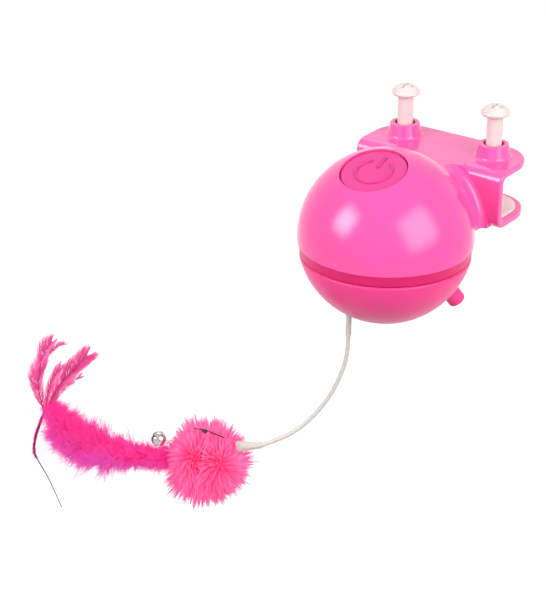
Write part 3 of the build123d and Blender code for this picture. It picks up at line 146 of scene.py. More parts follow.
# %% [markdown]
# ## A white room
#
# The toy is lit like a shop picture, in a room that looks plain white. If that white also lit the toy, its
# colours would wash out. So the world asks what kind of ray arrives: the camera, reflections and clear
# plastic see pure white, and the toy gets a much weaker fill.

# %% The world
FILL_STRENGTH = 0.36
FILL_WHITE = (1.0, 0.985, 0.97, 1)


def empty_nodes(owner):
    """Switch on and clear the nodes of a world or a material, and return its nodes and links."""
    owner.use_nodes = True
    owner.node_tree.nodes.clear()
    return owner.node_tree.nodes, owner.node_tree.links


def maths(tree, links, operation, *values):
    """A Math node. Each value is a plain number or the output of another node."""
    node = tree.new("ShaderNodeMath")
    node.operation = operation
    for socket, value in zip(node.inputs, values):
        if isinstance(value, bpy.types.NodeSocket):
            links.new(value, socket)
        else:
            socket.default_value = value
    return node.outputs[0]


def seen_directly(tree, links):
    """1 for the camera, reflections and clear plastic; 0 for light that falls on the toy."""
    rays = tree.new("ShaderNodeLightPath").outputs
    either = maths(tree, links, "MAXIMUM", rays["Is Camera Ray"], rays["Is Glossy Ray"])
    return maths(tree, links, "MAXIMUM", either, rays["Is Transmission Ray"])


scene.world = bpy.data.worlds.new("white room")
tree, links = empty_nodes(scene.world)
mix, out = tree.new("ShaderNodeMixShader"), tree.new("ShaderNodeOutputWorld")
links.new(seen_directly(tree, links), mix.inputs["Fac"])
for slot, colour, strength in ((1, FILL_WHITE, FILL_STRENGTH), (2, (1, 1, 1, 1), 1.0)):
    background = tree.new("ShaderNodeBackground")
    background.inputs["Color"].default_value = colour
    background.inputs["Strength"].default_value = strength
    links.new(background.outputs[0], mix.inputs[slot])
links.new(mix.outputs[0], out.inputs["Surface"])
print("the world's fill is", FILL_STRENGTH, "of full white")

# %% [markdown]
# ## Paper floor
#
# The toy hangs in the air, so its floor lies well below, as it would under a table. It is a large square of
# paper. A glow is added only for what sees it directly, which keeps the background white, and the paper
# under the glow still takes the toy's shadow.

# %% The floor
FLOOR_Z, FLOOR_HALF = -0.42, 8.0
PAPER_GREY, PAPER_GLOW = 0.3, 0.88


def as_object(name, bm, material, smooth=True):
    """Turn a finished bmesh into an object whose place is in its mesh."""
    for face in bm.faces:
        face.smooth = smooth
    mesh = bpy.data.meshes.new(name)
    bm.to_mesh(mesh)
    bm.free()
    mesh.materials.append(material)
    return in_scene(name, mesh)


def white_paper():
    material = bpy.data.materials.new("white paper")
    tree, links = empty_nodes(material)
    paper, glow = tree.new("ShaderNodeBsdfDiffuse"), tree.new("ShaderNodeEmission")
    paper.inputs["Color"].default_value = (PAPER_GREY, PAPER_GREY, PAPER_GREY, 1)
    links.new(maths(tree, links, "MULTIPLY", seen_directly(tree, links), PAPER_GLOW), glow.inputs["Strength"])
    add, out = tree.new("ShaderNodeAddShader"), tree.new("ShaderNodeOutputMaterial")
    links.new(paper.outputs[0], add.inputs[0])
    links.new(glow.outputs[0], add.inputs[1])
    links.new(add.outputs[0], out.inputs["Surface"])
    return material


floor_bm = bmesh.new()
bmesh.ops.create_grid(floor_bm, x_segments=1, y_segments=1, size=FLOOR_HALF)
bmesh.ops.translate(floor_bm, verts=floor_bm.verts, vec=(0, 0, FLOOR_Z))
floor = as_object("floor", floor_bm, white_paper(), smooth=False)
print("the floor lies", round(BALL.z - FLOOR_Z, 3), "m below the ball's middle")

# %% [markdown]
# ## Softboxes
#
# A glossy ball mirrors its lamps, and small ones would give it hard dots. So there is a compact bright
# softbox on the left, a large softer one on the right and a faint panel overhead. Each fades towards its
# rim, so that no reflection has a hard outline.


# %% Three softboxes
def fade_edges(lamp_data, edge):
    """Bright in the middle of the lamp and dark at its rim. edge is the share that fades."""
    lamp_data.use_nodes = True
    tree, links = lamp_data.node_tree.nodes, lamp_data.node_tree.links
    place, split = tree.new("ShaderNodeNewGeometry"), tree.new("ShaderNodeSeparateXYZ")
    links.new(place.outputs["Parametric"], split.inputs[0])
    strength = 1.0
    for axis in ("X", "Y"):
        for near, far in ((0.0, edge), (1.0, 1.0 - edge)):
            fade = tree.new("ShaderNodeMapRange")
            fade.interpolation_type = "SMOOTHSTEP"
            fade.inputs["From Min"].default_value, fade.inputs["From Max"].default_value = near, far
            links.new(split.outputs[axis], fade.inputs["Value"])
            strength = maths(tree, links, "MULTIPLY", strength, fade.outputs[0])
    links.new(strength, tree["Emission"].inputs["Strength"])


def softbox(name, right, up, front, distance, width, height, power, colour, roll=0.0, edge=0.3):
    """A rectangular lamp that faces the ball, placed by how far right, up and in front it stands."""
    data = bpy.data.lights.new(name, "AREA")
    data.shape, data.size, data.size_y = "RECTANGLE", width, height
    data.energy, data.color = power, colour
    fade_edges(data, edge)
    lamp = in_scene(name, data)
    direction = picture_direction(right, up, front)
    lamp.location = BALL + direction * distance
    facing = (-direction).to_track_quat("-Z", "Y").to_matrix().to_4x4()
    lamp.rotation_euler = (facing @ Matrix.Rotation(math.radians(roll), 4, "Z")).to_euler()


softbox("left softbox", right=-0.78, up=0.26, front=0.57, distance=1.3, width=0.95, height=1.12,
        power=36.0, colour=(1.0, 0.98, 0.94), roll=-12, edge=0.42)
softbox("right softbox", right=0.67, up=0.14, front=0.73, distance=1.3, width=1.55, height=1.50,
        power=40.0, colour=(1.0, 0.98, 0.94), roll=14, edge=0.34)
softbox("overhead panel", right=-0.10, up=0.95, front=-0.25, distance=1.2, width=1.1, height=0.9,
        power=5.0, colour=(1.0, 0.95, 0.92))

# %% [markdown]
# ## Small helpers for materials
#
# Colours are chosen as screen values, 0 to 255, but a shader takes linear light, so they are converted
# once. Patterns come from noise in object coordinates, which stay on a piece when it turns.


# %% Colours, noise and mixes
def linear(r, g, b):
    """A colour in screen values 0 to 255, as the linear numbers that a shader takes."""
    def one(v):
        v /= 255
        return v / 12.92 if v <= 0.04045 else ((v + 0.055) / 1.055) ** 2.4
    return (one(r), one(g), one(b), 1.0)


def new_material(name):
    """A material with one Principled shader, its nodes and links, and the output that shows it."""
    material = bpy.data.materials.new(name)
    tree, links = empty_nodes(material)
    shader, out = tree.new("ShaderNodeBsdfPrincipled"), tree.new("ShaderNodeOutputMaterial")
    links.new(shader.outputs[0], out.inputs["Surface"])
    return material, tree, links, shader, out.inputs["Surface"]


def noise_texture(tree, links, scale, detail):
    """Noise in object coordinates. scale is in waves per metre: 500 has spots about 2 mm wide."""
    texture = tree.new("ShaderNodeTexNoise")
    texture.inputs["Scale"].default_value = scale
    texture.inputs["Detail"].default_value = detail
    links.new(tree.new("ShaderNodeTexCoord").outputs["Object"], texture.inputs["Vector"])
    return texture.outputs["Fac"]


def spread(tree, links, value, low, high, centre=0.5, width=0.25):
    """Map the middle of a noise's range onto low to high."""
    span = tree.new("ShaderNodeMapRange")
    for label, number in (("From Min", centre - width), ("From Max", centre + width), ("To Min", low),
                          ("To Max", high)):
        span.inputs[label].default_value = number
    links.new(value, span.inputs["Value"])
    return span.outputs[0]


def between(tree, links, factor, a, b):
    """Mix two colours, each a fixed one or the output of another node."""
    mix = tree.new("ShaderNodeMix")
    mix.data_type = "RGBA"
    for label, colour in (("A", a), ("B", b)):
        if isinstance(colour, bpy.types.NodeSocket):
            links.new(colour, mix.inputs[label])
        else:
            mix.inputs[label].default_value = colour
    links.new(factor, mix.inputs["Factor"])
    return mix.outputs["Result"]


print("screen grey 128 is", round(linear(128, 128, 128)[0], 3), "in linear light")

# %% [markdown]
# ## A moulded surface
#
# A real moulded part is never one flat colour: its pigment drifts a little, its gloss has patches, and its
# skin has a fine orange peel. One helper builds all three from a broad noise and a fine one. Numbers that
# are the same all over, such as the refractive index, stay on the shader's own sockets.


# %% A moulded material
def moulded(name, colour, drift=0.06, roughness=0.2, rough_drift=0.05, grain=900, grain_mm=0.01, patch=70,
            **sockets):
    """Moulded plastic, rubber or metal. drift is how far the colour strays, grain and patch are waves per
    metre, and sockets are more numbers of the shader, with _ for a space."""
    material, tree, links, shader, _ = new_material(name)
    patches = noise_texture(tree, links, patch, 3)
    base = linear(*colour)[:3]
    dark = tuple(c * (1 - drift) for c in base) + (1,)
    pale = tuple(min(1, c * (1 + drift)) for c in base) + (1,)
    drifting = between(tree, links, spread(tree, links, patches, 0, 1), dark, pale)
    links.new(drifting, shader.inputs["Base Color"])
    links.new(spread(tree, links, patches, roughness - rough_drift, roughness + rough_drift),
              shader.inputs["Roughness"])
    skin = tree.new("ShaderNodeBump")
    skin.inputs["Distance"].default_value = grain_mm * MM
    links.new(noise_texture(tree, links, grain, 1), skin.inputs["Height"])
    links.new(skin.outputs[0], shader.inputs["Normal"])
    for socket, value in sockets.items():
        shader.inputs[socket.replace("_", " ")].default_value = value
    return material


def dress(material, *names):
    """Give engineering nodes a finish in place of their plain one."""
    for name in names:
        data = nodes[name].data
        if not data.materials:
            data.materials.append(material)
        for i in range(len(data.materials)):
            data.materials[i] = material
    print(material.name, "on", ", ".join(names))


# %% [markdown]
# ## The ball and its clamp
#
# Dome, rear shell and clamp are high-gloss plastic in candy pink. It has a clear skin over its pigment, so
# one roughness for both would look like satin or like lacquered metal. A coat with a low roughness of its
# own gives clear softbox reflections over a softer body.

# %% Gloss plastics of the shells
dome_gloss = moulded("dome gloss", (255, 80, 168), 0.02, 0.30, 0.02, 420, 0.002, IOR=1.5,
                     Specular_IOR_Level=0.05, Coat_Weight=0.85, Coat_Roughness=0.13, Coat_IOR=1.5)
clamp_gloss = moulded("clamp gloss", (255, 92, 176), 0.02, 0.30, 0.02, 420, 0.002, IOR=1.5,
                      Specular_IOR_Level=0.05, Coat_Weight=1.0, Coat_Roughness=0.12, Coat_IOR=1.5)
band_magenta = moulded("band magenta", (226, 28, 112), 0.04, 0.38, 0.04, 700, 0.004, IOR=1.45,
                       Specular_IOR_Level=0.35)
button_pink = moulded("button satin", (216, 36, 138), 0.03, 0.42, 0.04, 1500, 0.006, IOR=1.5,
                      Specular_IOR_Level=0.4)
bowl_gloss = moulded("bowl gloss", (255, 68, 148), 0.03, 0.36, 0.03, 500, 0.003, IOR=1.45,
                     Specular_IOR_Level=0.35)
dress(dome_gloss, "front_dome")
dress(clamp_gloss, "rear_housing", "battery_door")
dress(band_magenta, "chassis_plate")
dress(button_pink, "power_button", "switch_plunger")
dress(bowl_gloss, "bowl_shell", "laser_nozzle")

# %% [markdown]
# ## The button's cap
#
# A thin satin cap lies on the button, almost flush with the dome and dished a little for a fingertip. It
# is round, so a profile from pole to pole is spun about the button's own axis, which leans forward. The
# same helper turns the wire's sleeve later.

# %% Cap on the button
TILT = math.radians(18)
BUTTON_AXIS = Vector((0, -math.sin(TILT), math.cos(TILT)))
BUTTON_REAR = Vector((0, math.cos(TILT), math.sin(TILT)))
CAP_UNDER, CAP_TOP, CAP_R = 38.2, 39.9, 16.45
CAP_T = CAP_TOP - CAP_UNDER
CAP_PROFILE = [(0, -CAP_T), (CAP_R, -CAP_T), (CAP_R, -0.5), (CAP_R - 0.12, -0.22), (CAP_R - 0.4, -0.04),
               (CAP_R - 0.8, 0), (CAP_R - 4, -0.06), (CAP_R - 9, -0.14), (0, -0.18)]
button_frame = Matrix.Translation(BALL + BUTTON_AXIS * CAP_TOP * MM) @ Matrix(
    (Vector((1, 0, 0)), BUTTON_REAR, BUTTON_AXIS)).transposed().to_4x4()


def turned(name, profile, place, material, steps=32):
    """A body of revolution: profile is (radius, height) in millimetres from pole to pole."""
    bm = bmesh.new()
    points = [bm.verts.new((r * MM, 0, h * MM)) for r, h in profile]
    line = [bm.edges.new((a, b)) for a, b in zip(points, points[1:])]
    bmesh.ops.spin(bm, geom=points + line, cent=(0, 0, 0), axis=(0, 0, 1), angle=2 * math.pi, steps=steps,
                   use_merge=True)
    bmesh.ops.remove_doubles(bm, verts=bm.verts, dist=1e-7)
    bmesh.ops.recalc_face_normals(bm, faces=bm.faces)
    bmesh.ops.transform(bm, matrix=place, verts=bm.verts)
    return as_object(name, bm, material)


button_cap = turned("button_cap", CAP_PROFILE, button_frame, button_pink, steps=96)
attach(button_cap, "button")
print("cap:", len(button_cap.data.polygons), "faces")

# %% [markdown]
# ## The power sign
#
# The cap carries a raised ring with a gap and a bar in it, the usual sign for power. A moulded sign catches
# the light, as a printed one doesn't. So one half-round bead with its foot in the cap makes both: spun
# around the button's axis for the ring, and drawn out straight for the bar.

# %% Raised power sign
RING_R, BEAD_W, BEAD_H, BEAD_SUNK = 9.0, 0.8, 0.55, 0.3
GAP_HALF = math.radians(34)
BAR_FROM, BAR_LENGTH = 3.2, 8.2
BEAD_STEPS = 8


def bead_section(bm, centre, across, normal):
    """The bead's outline at one place: a half round on a sunk foot."""
    ring = []
    for k in range(BEAD_STEPS + 1):
        a = math.pi * k / BEAD_STEPS
        reach = across * (BEAD_W * math.cos(a) * MM) + normal * (BEAD_H * math.sin(a) * MM)
        ring.append(bm.verts.new(centre + reach))
    ring.append(bm.verts.new(centre - across * BEAD_W * MM - normal * BEAD_SUNK * MM))
    ring.append(bm.verts.new(centre + across * BEAD_W * MM - normal * BEAD_SUNK * MM))
    return [bm.edges.new((a, b)) for a, b in zip(ring, ring[1:] + ring[:1])], ring


def only_verts(geometry):
    return [v for v in geometry if isinstance(v, bmesh.types.BMVert)]


def power_symbol():
    bm = bmesh.new()
    x, y, z = Matrix.Identity(3)
    start = math.pi / 2 + GAP_HALF
    radial = x * math.cos(start) + y * math.sin(start)
    edges, ring = bead_section(bm, radial * RING_R * MM, radial, z)
    swept = bmesh.ops.spin(bm, geom=edges + ring, cent=(0, 0, 0), axis=z, angle=2 * math.pi - 2 * GAP_HALF,
                           steps=72, use_merge=False)
    last = only_verts(swept["geom_last"])
    bmesh.ops.contextual_create(bm, geom=ring)
    bmesh.ops.contextual_create(bm, geom=last)
    edges, ring = bead_section(bm, y * BAR_FROM * MM, x, z)
    moved = only_verts(bmesh.ops.extrude_edge_only(bm, edges=edges)["geom"])
    bmesh.ops.translate(bm, verts=moved, vec=y * BAR_LENGTH * MM)
    bmesh.ops.contextual_create(bm, geom=ring)
    bmesh.ops.contextual_create(bm, geom=moved)
    bmesh.ops.recalc_face_normals(bm, faces=bm.faces)
    bmesh.ops.transform(bm, matrix=button_frame, verts=bm.verts)
    return as_object("power_symbol", bm, button_pink)


symbol = power_symbol()
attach(symbol, "button")
print("power sign:", len(symbol.data.polygons), "faces")

# %% [markdown]
# ## Nylon, rubber and metal
#
# The two thumb screws are natural nylon, which light enters a little way: subsurface scattering gives its
# milky look, where plain white would look chalky. The wire's coating and the clear sleeve are alike. The
# grip pad is foam with open pores. Steel, brass and chrome are metals with a fine grain.

# %% Finishes of screws, pad, wire and metal
nylon = moulded("natural nylon", (228, 216, 216), 0.02, 0.36, 0.04, 1600, 0.003, IOR=1.5,
                Specular_IOR_Level=0.4, Subsurface_Weight=0.6, Subsurface_Radius=(1.0, 0.85, 0.75),
                Subsurface_Scale=0.002)
pad_foam = moulded("grip foam", (250, 236, 236), 0.04, 0.85, 0.05, 2600, 0.10, patch=260)
wire_white = moulded("wire coating", (210, 207, 204), 0.02, 0.36, 0.05, 1200, 0.004, IOR=1.48,
                     Subsurface_Weight=0.2, Subsurface_Radius=(0.6, 0.6, 0.6), Subsurface_Scale=0.002)
clear_sleeve = moulded("clear sleeve", (206, 206, 202), 0.02, 0.34, 0.05, 1200, 0.01, IOR=1.45,
                       Specular_IOR_Level=0.4, Subsurface_Weight=0.5, Subsurface_Radius=(1.0, 1.0, 1.0),
                       Subsurface_Scale=0.0015)
chrome = moulded("bell chrome", (188, 184, 182), 0.10, 0.12, 0.04, 1500, 0.004, Metallic=1.0)
steel = moulded("steel", (168, 168, 170), 0.06, 0.30, 0.06, 2500, 0.004, Metallic=1.0)
brass = moulded("brass", (190, 150, 80), 0.08, 0.30, 0.08, 2200, 0.004, Metallic=1.0)
dress(nylon, "clamp_screw_left", "clamp_screw_right")
dress(wire_white, "wire_socket")
dress(chrome, "jingle_bell")
dress(steel, "door_screw", "board_screws", "gear_axles", "gearbox_screws", "hub_screw", "chassis_screws",
      "housing_screws", "motor_shaft", "motor")
dress(brass, "shaft_bush", "laser_module", "slip_rings")

# %% [markdown]
# ## What is inside the ball
#
# Battery box, gears, board and laser are hidden while the ball is closed. They get simple finishes of the
# same kind, so that an opened ball still looks right.

# %% Finishes of the parts inside
contact_metal = moulded("contact metal", (196, 194, 188), 0.06, 0.25, 0.06, 2200, 0.004, Metallic=1.0)
inner_white = moulded("white acetal", (222, 220, 212), 0.03, 0.40, 0.06, 1500, 0.008)
gear_white = moulded("gear acetal", (232, 230, 222), 0.03, 0.34, 0.06, 1800, 0.006)
cell_sleeve = moulded("cell sleeve", (60, 62, 70), 0.12, 0.30, 0.06, 900, 0.006)
board_green = moulded("board green", (30, 90, 60), 0.10, 0.35, 0.06, 1600, 0.01)
lens_clear = moulded("laser lens", (150, 20, 34), 0.04, 0.06, 0.02, 900, 0.001, IOR=1.5,
                     Transmission_Weight=0.6)
dress(contact_metal, "battery_contacts", "brush_contacts")
dress(inner_white, "battery_box", "gearbox_cover", "turntable", "tact_switch")
dress(gear_white, "motor_pinion", "first_gear", "second_gear", "output_gear")
dress(cell_sleeve, "battery_cells")
dress(board_green, "circuit_board")
dress(lens_clear, "laser_lens")

# %% [markdown]
# ## Grip pad
#
# A die-cut sheet of foam lies in a shallow pocket of the lower jaw: a rectangle with two round rear corners.
# It starts as one face of four vertices, because an operator can then round just those two. The face is
# extruded to the sheet's thickness, and a small bevel softens its upper rim.

# %% The foam pad
PAD_CORNER_R, PAD_RIM_R = 16.0, 0.35


def grip_pad():
    low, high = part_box("grip_pad")
    bm = bmesh.new()
    corners = [bm.verts.new((x, y, low.z)) for x, y in
               ((low.x, low.y), (high.x, low.y), (high.x, high.y), (low.x, high.y))]
    bm.faces.new(corners)
    bmesh.ops.bevel(bm, geom=corners[2:], offset=PAD_CORNER_R * MM, affect="VERTICES", segments=14,
                    profile=0.5, material=-1)
    top = only_verts(bmesh.ops.extrude_face_region(bm, geom=list(bm.faces))["geom"])
    bmesh.ops.translate(bm, verts=top, vec=(0, 0, high.z - low.z))
    rim = [e for e in bm.edges if all(abs(v.co.z - high.z) < 1e-6 for v in e.verts)]
    bmesh.ops.bevel(bm, geom=rim, offset=PAD_RIM_R * MM, affect="EDGES", segments=3, profile=0.5, material=-1)
    bmesh.ops.recalc_face_normals(bm, faces=bm.faces)
    return as_object("foam_pad", bm, pad_foam)


pad = grip_pad()
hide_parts("grip_pad")
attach(pad, "housing")
print("foam pad:", [round(d / MM, 1) for d in pad.dimensions], "mm")

# %% [markdown]
# ## Connector
#
# A clear rubber sleeve joins the wire to the plush: a beaded collar, then a trumpet that spreads into the
# fur. It is round, so a profile is spun around the wire's last direction, lifted a little, because the soft
# sleeve bends where the plush pulls on it.

# %% The connector
SLEEVE_OVERLAP, SLEEVE_LIFT = 0.4, 0.24
TRUMPET = [(0, 0), (1.35, 0), (1.62, 0.25), (1.78, 0.7), (1.78, 1.1), (1.72, 1.5), (1.75, 3.2), (1.8, 3.6),
           (2.0, 3.9), (2.04, 4.4), (1.95, 4.8), (2.05, 5.6), (2.3, 7.2), (2.65, 9.2), (3.0, 11.6),
           (3.2, 13.6), (3.22, 14.0), (2.95, 14.1), (2.4, 12.4), (1.9, 9.8), (1.2, 8.0), (0, 7.6)]
wire_end, wire_before = lure_point(*WIRE_ROUTE[-1]), lure_point(*WIRE_ROUTE[-2])
wire_line = (wire_end - wire_before).normalized()
sleeve_line = (wire_line + above * SLEEVE_LIFT).normalized()
sleeve_frame = (Matrix.Translation(wire_end - sleeve_line * SLEEVE_OVERLAP * MM)
                @ sleeve_line.to_track_quat("Z", "Y").to_matrix().to_4x4())

connector = turned("trumpet_sleeve", TRUMPET, sleeve_frame, clear_sleeve)
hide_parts("wire_connector")
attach(connector, "bowl")
print("sleeve:", max(h for _, h in TRUMPET), "mm long")

# %% [markdown]
# ## Hair as a mesh
#
# Fur, down and feather barbs are all the same thing here: thousands of thin, tapered, closed hairs. A hair
# system's strands would be lost in an exported model. So every hair is a short line in one curve object,
# which is swept with a three-sided section, the lightest one that is closed.


# %% Lines swept into hairs
def three_sided_section():
    """A triangle, 1 mm from middle to corner, that each hair's radius scales."""
    section = bpy.data.curves.new("section", "CURVE")
    section.dimensions = "2D"
    triangle = section.splines.new("POLY")
    triangle.points.add(2)
    for k, p in enumerate(triangle.points):
        a = 2 * math.pi * k / 3
        p.co = (math.cos(a) * MM, math.sin(a) * MM, 0, 1)
    triangle.use_cyclic_u = True
    return in_scene("section", section)


def swept_mesh(name, lines, radii):
    """One mesh of all the lines, swept with the section."""
    section = three_sided_section()
    data = bpy.data.curves.new(name, "CURVE")
    data.dimensions, data.use_fill_caps = "3D", True
    data.bevel_mode, data.bevel_object = "OBJECT", section
    for line, radius in zip(lines, radii):
        hair = data.splines.new("POLY")
        hair.points.add(len(line) - 1)
        hair.points.foreach_set("co", np.c_[line, np.ones(len(line))].ravel())
        hair.points.foreach_set("radius", np.ascontiguousarray(radius))
    curve = in_scene(name + "_lines", data)
    deps = bpy.context.evaluated_depsgraph_get()
    mesh = bpy.data.meshes.new_from_object(curve.evaluated_get(deps))
    mesh.name = name
    bpy.data.objects.remove(curve)
    bpy.data.objects.remove(section)
    return mesh


# %% [markdown]
# ## Numbers on each hair
#
# A material can't tell where a hair begins. So two numbers are stored on the points of every hair, as
# attributes: how far along it the point is, and the hair's own tint.


# %% Hairs with their numbers
def hair_mesh(name, lines, radii, tints, material):
    """lines: hairs x points x 3 in metres. radii: one per point, in millimetres. tints: one per hair."""
    lines, tints = np.asarray(lines), np.asarray(tints, float)
    count, steps = lines.shape[:2]
    mesh = swept_mesh(name, lines, np.broadcast_to(np.asarray(radii, float), (count, steps)))
    # the sweep lists each hair's two end caps first, last hair first, and then all the rings in order
    ends = np.tile([1.0, 1.0, 1.0, 0.0, 0.0, 0.0], count)
    rings = np.tile(np.repeat(np.linspace(0, 1, steps), 3), count)
    for label, values in (("along", np.r_[ends, rings]),
                          ("tint", np.r_[np.repeat(tints[::-1], 6), np.repeat(tints, steps * 3)])):
        layer = mesh.attributes.new(label, "FLOAT", "POINT")
        layer.data.foreach_set("value", values.astype(np.float32))
    bm = bmesh.new()
    bm.from_mesh(mesh)
    bmesh.ops.remove_doubles(bm, verts=bm.verts, dist=1e-8)
    bmesh.ops.recalc_face_normals(bm, faces=bm.faces)
    bm.to_mesh(mesh)
    bm.free()
    mesh.materials.clear()
    mesh.materials.append(material)
    mesh.polygons.foreach_set("use_smooth", np.ones(len(mesh.polygons), bool))
    print(name, count, "hairs,", sum(len(p.vertices) - 2 for p in mesh.polygons), "triangles")
    return in_scene(name, mesh)


# %% [markdown]
# ## Hair's colours
#
# Each hair is painted darker at its root, as painted shade deep in the pile, and paler at its tip, as a
# painted highlight, and it is never the same from lock to lock. Light also comes through it, and bright hair
# passes it on so often that gaps between hairs never go dark. That would take very many bounces. A share of
# translucent shader and a weak glow, which is painted light, stand for them.

# %% Hair materials
CLUMPS, CLUMP_SHARE, HAIR_SPECULAR = 260.0, 0.5, 0.25


def hair_material(name, root, tip, third, glow, roughness=0.6, through=0.35):
    """Root to tip colour along each hair, painted shade at the root and a painted highlight at the tip,
    shifted to a third one by its tint and in clumps. The glow is painted light.
    """
    material, tree, links, shader, surface = new_material(name)
    along, tint = tree.new("ShaderNodeAttribute"), tree.new("ShaderNodeAttribute")
    along.attribute_name, tint.attribute_name = "along", "tint"
    # painted shade at the root and a painted highlight at the tip, along each hair
    length = between(tree, links, along.outputs["Fac"], linear(*root), linear(*tip))
    clumps = noise_texture(tree, links, CLUMPS, 2)
    tinted = maths(tree, links, "MULTIPLY_ADD", clumps, CLUMP_SHARE, tint.outputs["Fac"])
    shade = spread(tree, links, tinted, 0, 1, 0.75, 0.5)
    colour = between(tree, links, shade, length, linear(*third))
    links.new(colour, shader.inputs["Base Color"])
    shader.inputs["Roughness"].default_value = roughness
    shader.inputs["Specular IOR Level"].default_value = HAIR_SPECULAR
    # the glow is painted light: it stands for light passed on between hairs
    if glow:
        links.new(colour, shader.inputs["Emission Color"])
        shader.inputs["Emission Strength"].default_value = glow
    if through:
        lit_through, both = tree.new("ShaderNodeBsdfTranslucent"), tree.new("ShaderNodeMixShader")
        links.new(colour, lit_through.inputs["Color"])
        both.inputs["Fac"].default_value = through
        links.new(shader.outputs[0], both.inputs[1])
        links.new(lit_through.outputs[0], both.inputs[2])
        links.new(both.outputs[0], surface)
    return material


# roots darker as painted shade, tips paler as a painted highlight; each glow is painted light
plush_fur = hair_material("plush fur", (246, 84, 154), (248, 158, 212), (248, 96, 170), 0.42)
marabou_down = hair_material("marabou down", (242, 30, 146), (244, 84, 186), (234, 104, 204), 0.34)
hackle_barbs = hair_material("hackle barbs", (232, 92, 168), (244, 160, 212), (216, 64, 148), 0.5)
hackle_rib = hair_material("hackle rib", (178, 36, 104), (222, 84, 156), (170, 30, 96), 0.2, 0.5, through=0.0)
quill_dark = hair_material("quill", (112, 24, 62), (150, 34, 90), (84, 16, 46), 0.0, 0.4, through=0.0)
print("hair materials:", [m.name for m in (plush_fur, marabou_down, hackle_barbs, hackle_rib, quill_dark)])

# %% [markdown]
# ## Where the plush's hair grows
#
# The plush ball is long-pile fabric sewn around a soft core. Its pile has two crowns in front, and lies
# down away from them, as the hair on a head does. So the skin is an egg, and at each place on it the nearer
# crown says which way the hair is combed.

# %% The plush's skin and its crowns
PLUSH = lure_point(90.5, -134.0)
CORE, DEEPER = np.array((13.4, 13.4, 12.8)) * MM, 0.26
CROWNS = [np.array(picture_direction(*crown)) for crown in ((-0.56, 0.30, 0.77), (0.52, 0.06, 0.85))]
CROWN_TWIST, CROWN_SOFTNESS = 0.25, 0.05


def unit(v):
    return v / np.maximum(np.linalg.norm(v, axis=-1, keepdims=True), 1e-12)


def on_core(n, radii, deeper):
    """Skin points at directions n. The pile is flat in front and behind, so a core can be deeper there."""
    return n * radii * (1 + deeper * (n @ np.array(toward)) ** 2)[:, None]


def flow_from_crowns(n):
    """Which way hairs are combed at skin directions n, and how strongly."""
    total, strongest = 0, 1
    for crown in CROWNS:
        off = n - (n @ crown)[:, None] * crown
        swirled = unit(off) + CROWN_TWIST * np.cross(crown, unit(off))
        total = total + swirled / (CROWN_SOFTNESS + 1 - n @ crown)[:, None] ** 2
        strongest = np.minimum(strongest, np.linalg.norm(off, axis=1) * 1.5)
    return unit(total), strongest


print("the plush's skin is", round(2 * CORE[0] / MM, 1), "mm across, and deeper towards the viewer")

# %% [markdown]
# ## The pile
#
# Hairs of a used plush stick together in thin wisps, and hairs strewn evenly would look like a brush. So
# wisps are planned first, with a length, a lean and a swirl that drift smoothly over the ball. Then each
# hair grows by its own numbers and is pulled towards its wisp. A few lobes make the pile longer or shorter
# where it stands out or is pressed flat.

# %% How one hair grows
PILE_STEPS = 4


def bent_line(root, start, end, length, steps):
    """Points of hairs that leave root towards start and turn evenly towards end."""
    t = np.linspace(0, 1, steps)[None, :, None]
    return root[:, None] + length[:, None, None] * (start[:, None] * t + (end - start)[:, None] * t * t / 2)


def directions(count, turn=0.0):
    """Evenly spread unit vectors over a sphere."""
    k = np.arange(count) + 0.5
    z = 1 - 2 * k / count
    a = math.pi * (1 + 5 ** 0.5) * k + turn
    r = np.sqrt(1 - z * z)
    return np.c_[r * np.cos(a), r * np.sin(a), z]


def field(points, scale, seed):
    """A smooth random value from -1 to 1 at each of many directions."""
    return np.array([noise.noise(Vector(p) * scale + Vector((seed, 0, 0))) for p in points])


def grown(n, lean, swirl, length):
    """Hairs from skin directions n: they leave the skin half combed and end lying down with the flow."""
    away, strength = flow_from_crowns(n)
    flat = (strength * lean)[:, None] * (away + swirl[:, None] * np.cross(n, away))
    return bent_line(on_core(n, CORE * 0.98, DEEPER), unit(n + 0.5 * flat), unit(0.28 * n + 0.9 * flat),
                     length, PILE_STEPS)


print("a hair of the pile is a line of", PILE_STEPS, "points")

# %% The pile
PILE_HAIRS, WISPS, WISP_PULL = 9600, 1900, 0.7
PILE_LENGTH, PILE_SHORTEST = 9.2, 3.5
# how far to the right, up and toward the viewer, millimetres more pile there, and how wide the lobe is
LOBES = [(0.66, 0.60, 0.45, -5.0, 0.08), (-0.42, 0.90, 0.0, 3.0, 0.06), (0.98, -0.10, 0.0, 2.4, 0.05),
         (-0.68, -0.70, 0.2, 2.6, 0.08), (0.78, -0.62, 0.1, -1.8, 0.06), (-0.88, 0.42, 0.1, 2.6, 0.06)]


